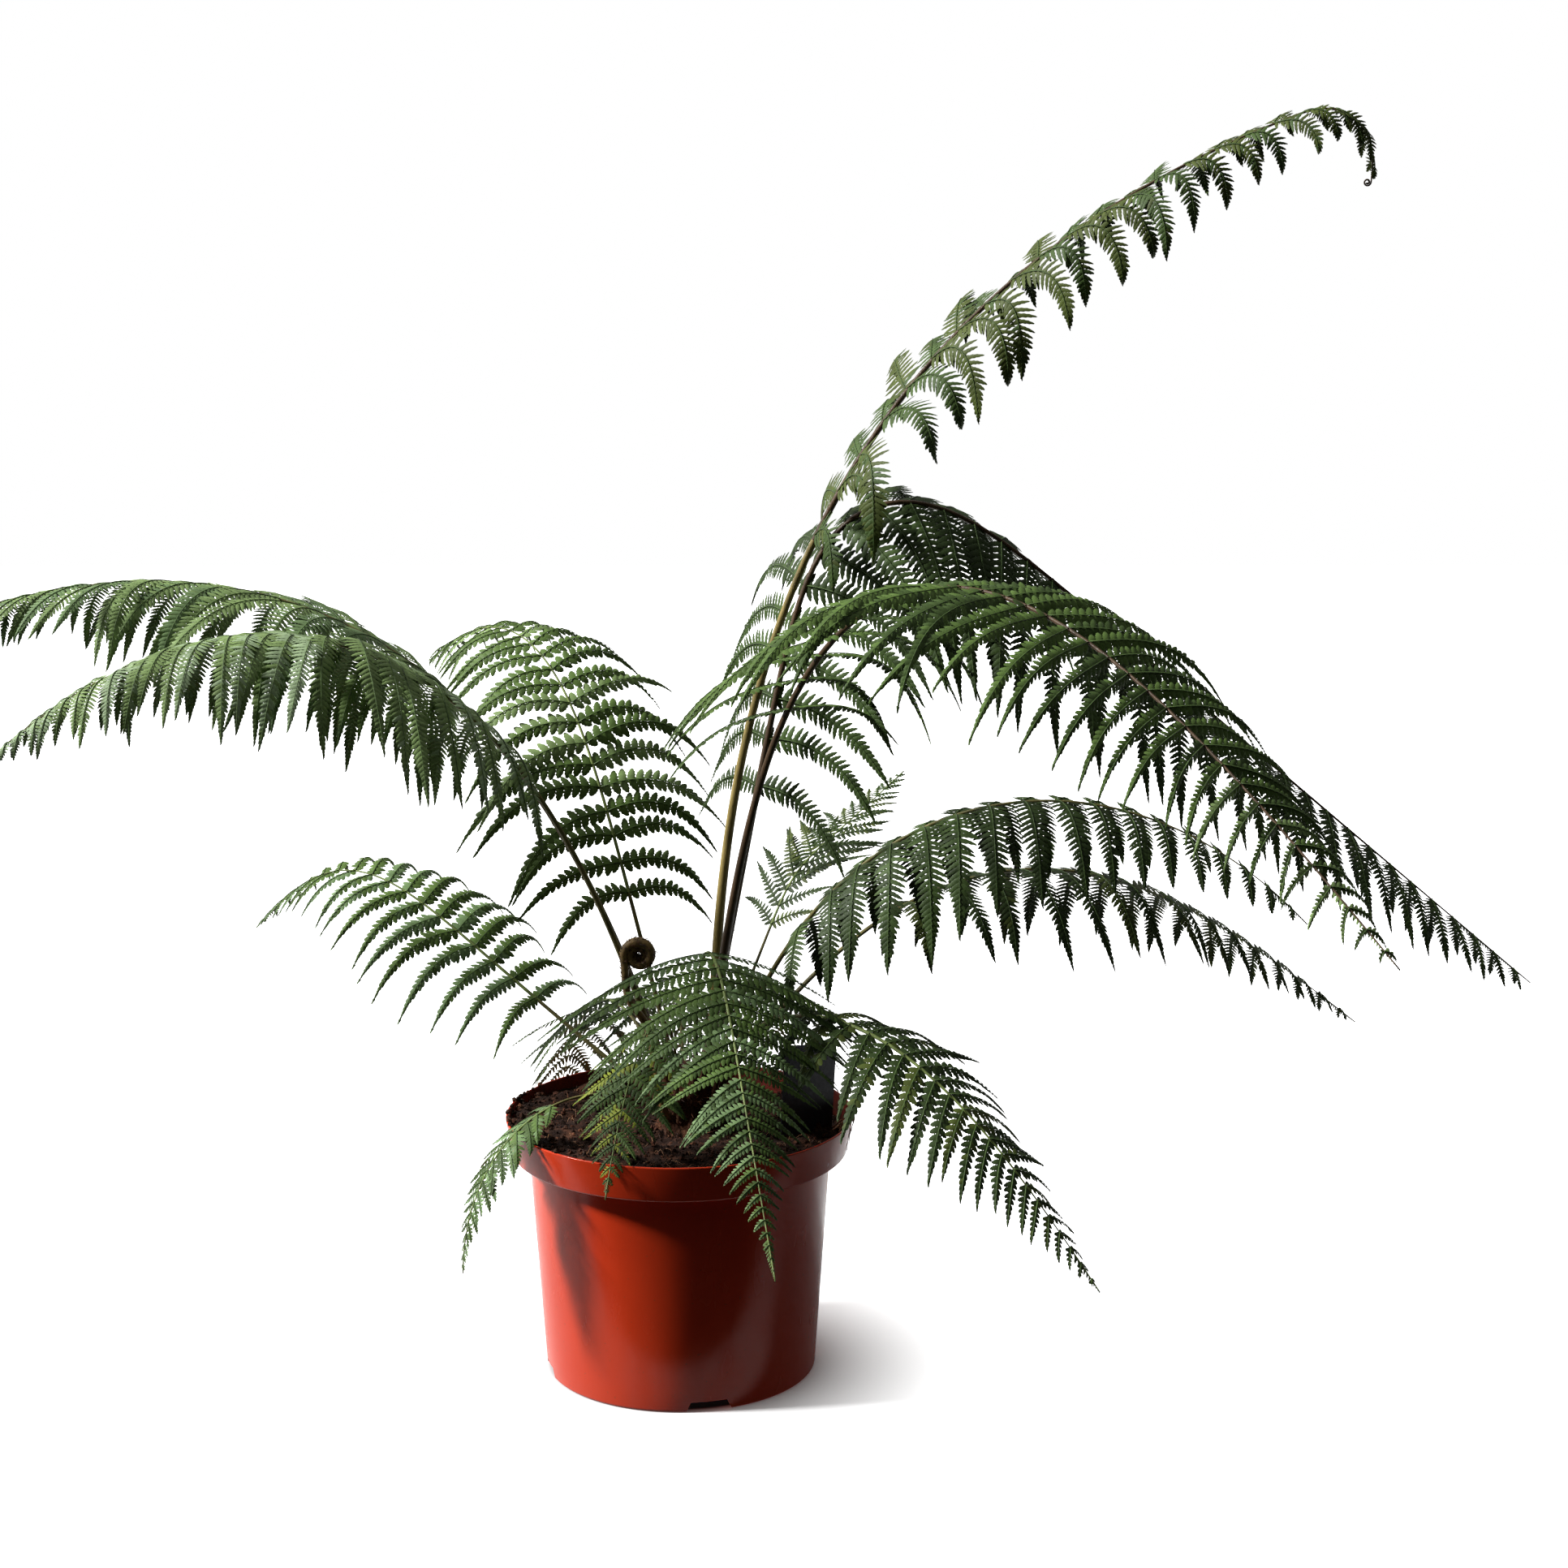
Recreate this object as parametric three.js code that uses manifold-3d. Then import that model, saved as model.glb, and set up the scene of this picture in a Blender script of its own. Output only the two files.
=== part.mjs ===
// A young tree fern in a round nursery pot.
// Millimetres, +Z up, origin at the centre of the pot's flat underside.
// Azimuths are in degrees from +X towards +Y, elevations in degrees above the horizontal.

import * as THREE from 'three';
import { mergeVertices } from 'three/addons/utils/BufferGeometryUtils.js';
import Module from 'manifold-3d';

const wasm = await Module();
wasm.setup();

// Gap between pieces that touch
const GAP = 0.3;
// Points nearer than this count as one point
const SEAM = 1e-4;
// Slivers thinner than this are smoothed away once a piece is joined
const SLIVER = 0.04;

// Pot: a five-litre container with a flared collar, a foot ring and a centre pad
const POT = {
  baseRadius: 85.8,
  bodyTopRadius: 95.4,
  collarFoot: 143,
  collarFootRadius: 106,
  rimRadius: 110,
  height: 166,
  wall: 2,
  padRadius: 28,
  ringInnerRadius: 73,
  underFloor: 5,
  floorTop: 8,
  edge: 0.8,
  draft: 2,
  segments: 36,
};
const NOTCH = { count: 4, firstAzimuth: -76.5, footWidth: 30, topWidth: 23, height: 6.5 };

// Compost: filled to about the rim on the left, lower towards the right
const SOIL = {
  level: 156, leftRise: 7, rightDrop: 4, frontRise: 2, collarFlare: 1.2, crownMargin: 5,
  innermost: 4, sides: 24, rings: 4,
};
// Lumps of the compost: a coarse wave and a fine one, in radians for a millimetre
const LUMPS = {
  height: 1.6,
  coarse: { x: 0.21, y: 0.17, shift: 1.3 },
  fine: { x: 0.09, y: 0.31, share: 0.6 },
};

// Crown: the short stem that the fronds grow from, with radius and height of each step up to its top
const CROWN = {
  x: 7, y: 0, foot: 156.4, flareRadius: 24, height: 42, segments: 16,
  steps: [[21, 6], [18.5, 16], [17.5, 26], [14, 34], [8, 40]],
};

// Plant label: a bare plate pushed into the compost
const LABEL = {
  x: 80, y: -2, turn: 38, lean: 4, width: 41, top: 56, foot: 4, spike: 26, spikeWidth: 14, thick: 1,
  corner: 5,
};

// Crozier: one frond that is still rolled up, with the points its stem passes through
const CROZIER = {
  route: [[3, -4, 166], [-9, -17, 172], [-18, -23, 225], [-30, -28, 248], [-30.1, -29, 279]],
  steps: 12,
  sides: 6,
  footRadius: 2.3,
  topRadius: 1.75,
};
const COIL = {
  centre: [-23.5, -29, 276], radius: 11, flatRadius: 9, hubRadius: 5.5, half: 4, hubHalf: 2.4,
  segments: 16,
};

// Fronds.  stem: where it leaves the crown and how long and thick it is.
// arch: elevation at foot and tip, where along it and how softly it bends, turn of azimuth, tip curl.
// blade: bare share of the stem, pairs of side branches and the size and set of these.  skew and
// uneven part the two sides in lean and in droop, late puts the droop off towards a branch's end,
// and unroll takes the roll back towards the tip.
const FRONDS = {
  tall_right: {
    stem: { azimuth: 2, turn: 0, out: 14, level: 28, length: 832, thick: 8 },
    arch: { rise: 90, fall: 15, at: 0.57, soft: 0.23, sweep: 6, curl: 110 },
    blade: {
      bare: 0.42, pairs: 14, pinna: 84, leaflet: 15, lean: 60, skew: -18, lift: 3, droop: 1.5,
      uneven: 0.55, late: 2.2, roll: -5, unroll: 0, wide: 0.1, taper: 0.5,
    },
  },
  near_right: {
    stem: { azimuth: -42, turn: -10, out: 14, level: 26, length: 792, thick: 6.5 },
    arch: { rise: 80, fall: -36, at: 0.48, soft: 0.1, sweep: -10, curl: 0 },
    blade: {
      bare: 0.36, pairs: 15, pinna: 150, leaflet: 13, lean: 96, skew: -3, lift: 0, droop: 0.4,
      uneven: 0.15, late: 1.9, roll: 0, unroll: 0, wide: 0.25, taper: 0.85,
    },
  },
  long_left: {
    stem: { azimuth: 170, turn: -14, out: 14, level: 26, length: 640, thick: 5 },
    arch: { rise: 72, fall: -20, at: 0.6, soft: 0.19, sweep: 22, curl: 0 },
    blade: {
      bare: 0.42, pairs: 12, pinna: 135, leaflet: 14, lean: 66, skew: 0, lift: 14, droop: 1.25,
      uneven: 0, late: 1.3, roll: -5, unroll: 0, wide: 0.25, taper: 0.85,
    },
  },
  near_left: {
    stem: { azimuth: 203, turn: 6, out: 14, level: 26, length: 597, thick: 5 },
    arch: { rise: 72, fall: -40, at: 0.66, soft: 0.16, sweep: -4, curl: 0 },
    blade: {
      bare: 0.46, pairs: 12, pinna: 118, leaflet: 14, lean: 84, skew: 0, lift: 12, droop: 1.45,
      uneven: 0, late: 1.3, roll: -5, unroll: 0, wide: 0.25, taper: 0.85,
    },
  },
  far_right: {
    stem: { azimuth: 10, turn: 50, out: 13, level: 28, length: 920, thick: 6 },
    arch: { rise: 79, fall: -38, at: 0.4, soft: 0.03, sweep: -6, curl: 0 },
    blade: {
      bare: 0.24, pairs: 16, pinna: 130, leaflet: 13, lean: 80, skew: 0, lift: 0, droop: 0.75,
      uneven: 0.1, late: 1.3, roll: -38, unroll: 1, wide: 0.3, taper: 0.6,
    },
  },
  low_right: {
    stem: { azimuth: -12, turn: -8, out: 18, level: 18, length: 487, thick: 4.5 },
    arch: { rise: 71, fall: -46, at: 0.63, soft: 0.26, sweep: 2, curl: 0 },
    blade: {
      bare: 0.3, pairs: 11, pinna: 122, leaflet: 13, lean: 82, skew: 0, lift: 8, droop: 1.7,
      uneven: 0, late: 1.3, roll: 0, unroll: 0, wide: 0.25, taper: 0.85,
    },
  },
  low_right_back: {
    stem: { azimuth: 25, turn: 12, out: 18, level: 18, length: 533, thick: 4 },
    arch: { rise: 50, fall: -39, at: 0.44, soft: 0.15, sweep: -15, curl: 0 },
    blade: {
      bare: 0.32, pairs: 11, pinna: 105, leaflet: 11, lean: 84, skew: 0, lift: 8, droop: 1.3,
      uneven: 0, late: 1.3, roll: 10, unroll: 0, wide: 0.25, taper: 0.85,
    },
  },
  back_left: {
    stem: { azimuth: 135, turn: -15, out: 15, level: 24, length: 472, thick: 3.6 },
    arch: { rise: 68, fall: -27, at: 0.67, soft: 0.09, sweep: -14, curl: 0 },
    blade: {
      bare: 0.26, pairs: 11, pinna: 105, leaflet: 13, lean: 85, skew: 0, lift: 4, droop: 0.75,
      uneven: 0, late: 1.4, roll: 16, unroll: 0, wide: 0.25, taper: 0.85,
    },
  },
  small_left: {
    stem: { azimuth: 160, turn: 8, out: 18, level: 14, length: 370, thick: 3.6 },
    arch: { rise: 35, fall: -42, at: 0.73, soft: 0.07, sweep: -15, curl: 0 },
    blade: {
      bare: 0.28, pairs: 10, pinna: 86, leaflet: 11, lean: 85, skew: 0, lift: 8, droop: 0.6,
      uneven: 0, late: 1.5, roll: 14, unroll: 0, wide: 0.25, taper: 0.85,
    },
  },
  front: {
    stem: { azimuth: -78, turn: 0, out: 16, level: 22, length: 362, thick: 3.6 },
    arch: { rise: 88, fall: -47, at: 0.33, soft: 0.07, sweep: 2, curl: 0 },
    blade: {
      bare: 0.36, pairs: 11, pinna: 120, leaflet: 8, lean: 85, skew: 0, lift: -5, droop: 0.4,
      uneven: 0, late: 1, roll: 5, unroll: 0, wide: 0.05, taper: 1.5,
    },
  },
  front_right: {
    stem: { azimuth: -38, turn: -10, out: 20, level: 16, length: 366, thick: 4 },
    arch: { rise: 83, fall: -52, at: 0.14, soft: 0.2, sweep: 10, curl: 0 },
    blade: {
      bare: 0.3, pairs: 11, pinna: 82, leaflet: 10, lean: 82, skew: 0, lift: 0, droop: 0.5,
      uneven: 0, late: 1, roll: -5, unroll: 0, wide: 0.25, taper: 1,
    },
  },
  young_right: {
    stem: { azimuth: 42, turn: 18, out: 17, level: 20, length: 280, thick: 3.2 },
    arch: { rise: 59, fall: 21, at: 0.54, soft: 0.04, sweep: 12, curl: 0 },
    blade: {
      bare: 0.4, pairs: 8, pinna: 58, leaflet: 7, lean: 52, skew: 0, lift: 8, droop: 0.2,
      uneven: 0, late: 1, roll: 0, unroll: 0, wide: 0.25, taper: 0.85,
    },
  },
  front_small: {
    stem: { azimuth: -130, turn: 20, out: 20, level: 10, length: 206, thick: 2.6 },
    arch: { rise: 87, fall: -50, at: 0.37, soft: 0.05, sweep: 31, curl: 0 },
    blade: {
      bare: 0.42, pairs: 8, pinna: 50, leaflet: 6, lean: 70, skew: 0, lift: -5, droop: 0.3,
      uneven: 0, late: 1, roll: 0, unroll: 0, wide: 0.25, taper: 1.2,
    },
  },
  front_left_small: {
    stem: { azimuth: -150, turn: 0, out: 19, level: 10, length: 207, thick: 2.6 },
    arch: { rise: 42, fall: -88, at: 0.36, soft: 0.33, sweep: 0, curl: 0 },
    blade: {
      bare: 0.4, pairs: 8, pinna: 30, leaflet: 6, lean: 65, skew: 0, lift: -5, droop: 0.3,
      uneven: 0, late: 1, roll: 0, unroll: 0, wide: 0.25, taper: 0.85,
    },
  },
  back_low_right: {
    stem: { azimuth: 68, turn: 12, out: 18, level: 11, length: 285, thick: 3 },
    arch: { rise: 52, fall: -70, at: 0.4, soft: 0.14, sweep: 0, curl: 0 },
    blade: {
      bare: 0.3, pairs: 8, pinna: 75, leaflet: 8, lean: 78, skew: 0, lift: -5, droop: 0.5,
      uneven: 0, late: 1, roll: 0, unroll: 0, wide: 0.25, taper: 0.85,
    },
  },
  back_low: {
    stem: { azimuth: 95, turn: 8, out: 18, level: 9, length: 300, thick: 3 },
    arch: { rise: 48, fall: -72, at: 0.38, soft: 0.14, sweep: 0, curl: 0 },
    blade: {
      bare: 0.3, pairs: 8, pinna: 80, leaflet: 8, lean: 78, skew: 0, lift: -5, droop: 0.5,
      uneven: 0, late: 1, roll: 0, unroll: 0, wide: 0.25, taper: 0.85,
    },
  },
  back_low_left: {
    stem: { azimuth: 120, turn: 12, out: 18, level: 10, length: 250, thick: 3 },
    arch: { rise: 50, fall: -70, at: 0.42, soft: 0.14, sweep: 0, curl: 0 },
    blade: {
      bare: 0.3, pairs: 7, pinna: 65, leaflet: 8, lean: 78, skew: 0, lift: -5, droop: 0.5,
      uneven: 0, late: 1, roll: 0, unroll: 0, wide: 0.25, taper: 0.85,
    },
  },
};

// Shape rules that all the fronds share
const ROOT_DEPTH = { in: 10, down: 6 };
const CURVE_STEPS = 120;
const STEM_RING_SPACING = 42;
const LEAST_STEM_RINGS = 8;
const STEM_SIDES = 4;
const STEM_TIP_SHARE = 0.25;
const LEAST_STEM_RADIUS = 1;
const CURL_FROM = 0.9;
const CROWDING = 0.88;
const FIRST_PAIR = 0.15;
const BASE_REACH = 0.65;
const LEAN_LOSS = 0.35;
const PINNA_STATIONS = [
  { out: 0, width: 0, ridge: 0.5 },
  { out: 0.13, width: 1, ridge: 1 },
  { out: 0.55, width: 0.75, ridge: 0.9 },
  { out: 1, width: 0, ridge: 0.6 },
];
const PINNA_STRIDES = 4;
const LEAST_HALF_WIDTH = 0.5;
const LEAST_LEAFLET_SHARE = 0.2;
const BLADE_THICKNESS_SHARE = 0.013;
const LEAST_BLADE_THICKNESS = 0.9;
const LIFT_TRIALS = [0, 8, -8, 16, -16];
const REACH_TRIALS = [1, 0.8, 0.6, 0.45];

const COLOURS = {
  pot: 0xc8451f, soil: 0x2d1c16, crown: 0x5a3a26, label: 0x2d2f34, crozier: 0x4a2f1d,
  deepGreen: 0x2c4a22, midGreen: 0x3f6b38, paleGreen: 0x5f8f5a,
};
const FROND_COLOURS = [COLOURS.midGreen, COLOURS.deepGreen, COLOURS.paleGreen];

const degrees = THREE.MathUtils.degToRad;
const clamp = THREE.MathUtils.clamp;
const DOWN = new THREE.Vector3(0, 0, -1);
// A direction that no stem starts in, to set the first ring of a tube by
const ASIDE = new THREE.Vector3(0.31, 0.95, 0.07);

function toSolid(positions, order) {
  return new wasm.Manifold(new wasm.Mesh({
    numProp: 3,
    vertProperties: new Float32Array(positions),
    triVerts: new Uint32Array(order),
  }));
}

// Solid inside a closed surface, whichever way its faces were wound
function outwardSolid(geometry) {
  const bare = geometry.clone();
  bare.deleteAttribute('normal');
  bare.deleteAttribute('uv');
  const surface = mergeVertices(bare, SEAM);
  const positions = surface.attributes.position.array;
  const order = [...surface.index.array];
  const solid = toSolid(positions, order);
  return solid.volume() > 0 ? solid : toSolid(positions, order.reverse());
}

function toGeometry(solid) {
  const mesh = solid.getMesh();
  const geometry = new THREE.BufferGeometry();
  geometry.setAttribute('position', new THREE.BufferAttribute(mesh.vertProperties, 3));
  geometry.setIndex(new THREE.BufferAttribute(mesh.triVerts, 1));
  geometry.computeVertexNormals();
  return geometry;
}

// True where the surface stays closed once points a hair apart are taken as one
function staysClosed(solid) {
  const { vertProperties, triVerts } = solid.getMesh();
  const spot = (vertex) => [0, 1, 2]
    .map((axis) => Math.round(vertProperties[3 * vertex + axis] / SEAM)).join();
  const edges = new Set();
  for (let at = 0; at < triVerts.length; at += 3) {
    const corners = [spot(triVerts[at]), spot(triVerts[at + 1]), spot(triVerts[at + 2])];
    if (new Set(corners).size < 3) continue;
    for (let corner = 0; corner < 3; corner += 1) {
      const edge = `${corners[corner]} ${corners[(corner + 1) % 3]}`;
      if (edges.has(edge)) return false;
      edges.add(edge);
    }
  }
  return true;
}

// The main body of a joined solid, with its slivers gone
function largestBody(solid) {
  const bodies = solid.simplify(SLIVER).decompose();
  return bodies.reduce((best, body) => (body.volume() > best.volume() ? body : best));
}

function piece(name, solid, colour, roughness) {
  const material = new THREE.MeshStandardMaterial({ color: colour, roughness, metalness: 0 });
  const mesh = new THREE.Mesh(toGeometry(solid), material);
  mesh.name = name;
  return mesh;
}

// Closed solid through rings of points, all rings in the same turning sense.  A quad of its wall
// is split from its first corner, or from the next one where splitsNext says so.
function loft(rings, splitsNext = () => false) {
  const sides = rings[0].length;
  const positions = rings.flat().flatMap((point) => [point.x, point.y, point.z]);
  const index = [];
  for (let ring = 0; ring < rings.length - 1; ring += 1) {
    for (let side = 0; side < sides; side += 1) {
      const a = ring * sides + side;
      const b = ring * sides + ((side + 1) % sides);
      if (splitsNext(ring, side)) index.push(a, b, a + sides, b, b + sides, a + sides);
      else index.push(a, b, b + sides, a, b + sides, a + sides);
    }
  }
  const last = (rings.length - 1) * sides;
  for (let side = 1; side < sides - 1; side += 1) {
    index.push(0, side + 1, side, last, last + side, last + side + 1);
  }
  const geometry = new THREE.BufferGeometry();
  geometry.setAttribute('position', new THREE.Float32BufferAttribute(positions, 3));
  geometry.setIndex(index);
  return geometry;
}

// Round tube through points, with a radius for each
function tube(points, radii, sides) {
  let across = ASIDE.clone();
  const rings = points.map((point, at) => {
    const before = points[Math.max(at - 1, 0)];
    const after = points[Math.min(at + 1, points.length - 1)];
    const along = after.clone().sub(before).normalize();
    across = across.addScaledVector(along, -across.dot(along)).normalize();
    const second = new THREE.Vector3().crossVectors(along, across);
    return Array.from({ length: sides }, (_, side) => {
      const angle = (2 * Math.PI * side) / sides;
      return point.clone()
        .addScaledVector(across, radii[at] * Math.cos(angle))
        .addScaledVector(second, radii[at] * Math.sin(angle));
    });
  });
  return outwardSolid(loft(rings));
}

// Pot

function potProfile() {
  const slope = (POT.bodyTopRadius - POT.baseRadius) / POT.collarFoot;
  const innerAt = (z) => POT.baseRadius + slope * z - POT.wall;
  return [
    [0, 0],
    [POT.padRadius, 0],
    [POT.padRadius + POT.draft, POT.underFloor],
    [POT.ringInnerRadius, POT.underFloor],
    [POT.ringInnerRadius + POT.draft, 0],
    [POT.baseRadius - POT.edge, 0],
    [POT.baseRadius, POT.edge],
    [POT.bodyTopRadius, POT.collarFoot],
    [POT.collarFootRadius - POT.edge, POT.collarFoot],
    [POT.collarFootRadius, POT.collarFoot + POT.edge],
    [POT.rimRadius, POT.height - POT.edge],
    [POT.rimRadius - POT.edge, POT.height],
    [POT.rimRadius - POT.wall, POT.height],
    [POT.collarFootRadius - POT.wall, POT.collarFoot + POT.wall],
    [innerAt(POT.collarFoot), POT.collarFoot + POT.wall],
    [innerAt(POT.floorTop), POT.floorTop],
    [0, POT.floorTop],
  ];
}

function latheSolid(profile, segments) {
  const points = profile.map(([radius, z]) => new THREE.Vector2(radius, z));
  const geometry = new THREE.LatheGeometry(points, segments);
  geometry.rotateX(Math.PI / 2);
  return outwardSolid(geometry);
}

function notchCutter(azimuth) {
  const outline = new THREE.Shape();
  outline.moveTo(-NOTCH.footWidth / 2, -1);
  outline.lineTo(NOTCH.footWidth / 2, -1);
  outline.lineTo(NOTCH.topWidth / 2, NOTCH.height);
  outline.lineTo(-NOTCH.topWidth / 2, NOTCH.height);
  outline.closePath();
  const depth = POT.baseRadius - POT.ringInnerRadius;
  const geometry = new THREE.ExtrudeGeometry(outline, { depth, bevelEnabled: false });
  geometry.rotateX(Math.PI / 2);
  geometry.rotateZ(Math.PI / 2);
  geometry.translate(POT.ringInnerRadius + GAP, 0, 0);
  geometry.rotateZ(degrees(azimuth));
  return outwardSolid(geometry);
}

function buildPot() {
  let pot = latheSolid(potProfile(), POT.segments);
  for (let notch = 0; notch < NOTCH.count; notch += 1) {
    pot = pot.subtract(notchCutter(NOTCH.firstAzimuth + (360 / NOTCH.count) * notch));
  }
  return pot;
}

// Compost

function soilLevel(x, y) {
  const side = clamp(-x / POT.rimRadius, -1, 1);
  const slope = side > 0 ? SOIL.leftRise * side : SOIL.rightDrop * side;
  const front = SOIL.frontRise * clamp(-y / POT.rimRadius, -1, 1);
  const { coarse, fine, height } = LUMPS;
  const lumps = Math.sin(x * coarse.x + coarse.shift) * Math.cos(y * coarse.y)
    + fine.share * Math.sin(x * fine.x - y * fine.y);
  const nearCrown = Math.hypot(x - CROWN.x, y - CROWN.y) < CROWN.flareRadius + SOIL.crownMargin + 1;
  return nearCrown ? SOIL.level : SOIL.level + slope + front + height * lumps;
}

// Ring of the compost; towards the crown the rings move in round it
function soilRing(radius, level, towardsCrown = 0) {
  return Array.from({ length: SOIL.sides }, (_, side) => {
    const angle = (2 * Math.PI * side) / SOIL.sides;
    const x = radius * Math.cos(angle) + CROWN.x * towardsCrown;
    const y = radius * Math.sin(angle) + CROWN.y * towardsCrown;
    return new THREE.Vector3(x, y, level ?? soilLevel(x, y));
  });
}

function buildSoil() {
  const slope = (POT.bodyTopRadius - POT.baseRadius) / POT.collarFoot;
  const insideWall = POT.wall + GAP;
  const ledge = POT.collarFoot + insideWall;
  const collarFoot = POT.collarFootRadius - insideWall;
  const bodyTop = POT.bodyTopRadius - insideWall;
  const floor = POT.floorTop + GAP;
  // The facets of the pot's wall lie inside its circle, so the compost keeps to their depth
  const facet = Math.cos(Math.PI / POT.segments);
  const rings = [
    soilRing((POT.baseRadius + slope * floor - insideWall) * facet, floor),
    soilRing(bodyTop * facet, ledge),
    soilRing(collarFoot * facet, ledge),
    soilRing((collarFoot + SOIL.collarFlare) * facet),
  ];
  const aroundCrown = CROWN.flareRadius + SOIL.crownMargin;
  for (let ring = SOIL.rings - 1; ring >= 0; ring -= 1) {
    const share = ring / SOIL.rings;
    rings.push(soilRing(aroundCrown * (1 - share) + collarFoot * share, undefined, 1 - share));
  }
  rings.push(soilRing(SOIL.innermost, SOIL.level, 1));
  return outwardSolid(loft(rings)).subtract(labelPlate(GAP));
}

// Crown

function crownSolid(grow) {
  const profile = [
    [0, -grow],
    [CROWN.flareRadius + grow, -grow],
    ...CROWN.steps.map(([radius, z]) => [radius + grow, z + (grow * z) / CROWN.height]),
    [0, CROWN.height + grow],
  ];
  return latheSolid(profile, CROWN.segments).translate([CROWN.x, CROWN.y, CROWN.foot]);
}

// Label

function labelPlate(grow) {
  const half = LABEL.width / 2 + grow;
  const top = LABEL.top + grow;
  const foot = -LABEL.foot - grow;
  const spikeHalf = LABEL.spikeWidth / 2 + grow;
  const { corner } = LABEL;
  const outline = new THREE.Shape();
  outline.moveTo(-half, foot);
  outline.lineTo(-spikeHalf, foot);
  outline.lineTo(-spikeHalf / 2, -LABEL.spike - grow);
  outline.lineTo(spikeHalf / 2, -LABEL.spike - grow);
  outline.lineTo(spikeHalf, foot);
  outline.lineTo(half, foot);
  outline.lineTo(half, top - corner);
  outline.absarc(half - corner, top - corner, corner, 0, Math.PI / 2);
  outline.lineTo(-half + corner, top);
  outline.absarc(-half + corner, top - corner, corner, Math.PI / 2, Math.PI);
  outline.closePath();
  const depth = LABEL.thick + 2 * grow;
  const geometry = new THREE.ExtrudeGeometry(outline, { depth, bevelEnabled: false, curveSegments: 3 });
  geometry.translate(0, 0, -depth / 2);
  geometry.rotateX(Math.PI / 2);
  geometry.rotateY(degrees(LABEL.lean));
  geometry.rotateZ(degrees(LABEL.turn));
  geometry.translate(LABEL.x, LABEL.y, SOIL.level - 1);
  return outwardSolid(geometry);
}

// Crozier

function coilSolid() {
  const profile = [
    [0, -COIL.hubHalf],
    [COIL.hubRadius, -COIL.half],
    [COIL.flatRadius, -COIL.half],
    [COIL.radius, 0],
    [COIL.flatRadius, COIL.half],
    [COIL.hubRadius, COIL.half],
    [0, COIL.hubHalf],
  ];
  return latheSolid(profile, COIL.segments).rotate([90, 0, 0]).translate(COIL.centre);
}

function buildCrozier(crownCut) {
  const route = new THREE.CatmullRomCurve3(CROZIER.route.map((spot) => new THREE.Vector3(...spot)));
  const points = route.getPoints(CROZIER.steps);
  const { footRadius, topRadius } = CROZIER;
  const radii = points.map((_, at) => footRadius + (topRadius - footRadius) * (at / CROZIER.steps));
  return largestBody(tube(points, radii, CROZIER.sides).subtract(crownCut).add(coilSolid()));
}

// Fronds

function bendShare(along, at, soft) {
  const logistic = (value) => 1 / (1 + Math.exp(-value / soft));
  const low = logistic(-at);
  return (logistic(along - at) - low) / (logistic(1 - at) - low);
}

function frondFoot({ azimuth, turn, out, level }) {
  const angle = degrees(azimuth + turn);
  return new THREE.Vector3(
    CROWN.x + out * Math.cos(angle),
    CROWN.y + out * Math.sin(angle),
    SOIL.level + level,
  );
}

// Points along the midrib, from the foot to the tip
function midrib({ stem, arch }) {
  const points = [frondFoot(stem)];
  for (let step = 0; step < CURVE_STEPS; step += 1) {
    const along = (step + 0.5) / CURVE_STEPS;
    const tip = clamp((along - CURL_FROM) / (1 - CURL_FROM), 0, 1);
    const bend = (arch.fall - arch.rise) * bendShare(along, arch.at, arch.soft);
    const elevation = degrees(arch.rise + bend - arch.curl * tip * tip * (3 - 2 * tip));
    const azimuth = degrees(stem.azimuth + arch.sweep * along);
    const direction = new THREE.Vector3(
      Math.cos(elevation) * Math.cos(azimuth),
      Math.cos(elevation) * Math.sin(azimuth),
      Math.sin(elevation),
    );
    points.push(points[step].clone().addScaledVector(direction, stem.length / CURVE_STEPS));
  }
  return points;
}

function stemSolid(frond, points, crownCut) {
  const { stem } = frond;
  const angle = degrees(stem.azimuth + stem.turn);
  const root = points[0].clone().add(new THREE.Vector3(
    -ROOT_DEPTH.in * Math.cos(angle),
    -ROOT_DEPTH.in * Math.sin(angle),
    -ROOT_DEPTH.down,
  ));
  const stations = [root];
  const radii = [stem.thick / 2];
  const ringCount = Math.max(LEAST_STEM_RINGS, Math.round(stem.length / STEM_RING_SPACING));
  for (let ring = 0; ring <= ringCount; ring += 1) {
    const share = ring / ringCount;
    stations.push(points[Math.round(share * CURVE_STEPS)]);
    radii.push(Math.max((stem.thick / 2) * (1 - (1 - STEM_TIP_SHARE) * share), LEAST_STEM_RADIUS));
  }
  return largestBody(tube(stations, radii, STEM_SIDES).subtract(crownCut));
}

// Share of the longest side branch at a share of the leafy stretch
function reachShare(share, { wide, taper }) {
  const rising = BASE_REACH + (1 - BASE_REACH) * Math.min(share / wide, 1);
  return rising * (1 - Math.max(0, (share - wide) / (1 - wide))) ** taper;
}

// Whether the underside of a blade between two rings sinks along the diagonal from its first edge.
// Split there, and the upper strips with it, a twisted blade has no walls that cross.
function twistsForward(rings, ring) {
  const [edge, otherEdge, ridge] = rings[ring];
  const [nextEdge, nextOtherEdge, nextRidge] = rings[ring + 1];
  const forward = edge.clone().add(nextOtherEdge);
  const backward = otherEdge.clone().add(nextEdge);
  const upward = ridge.clone().add(nextRidge).multiplyScalar(2).sub(forward).sub(backward);
  return forward.sub(backward).dot(upward) < 0;
}

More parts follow.
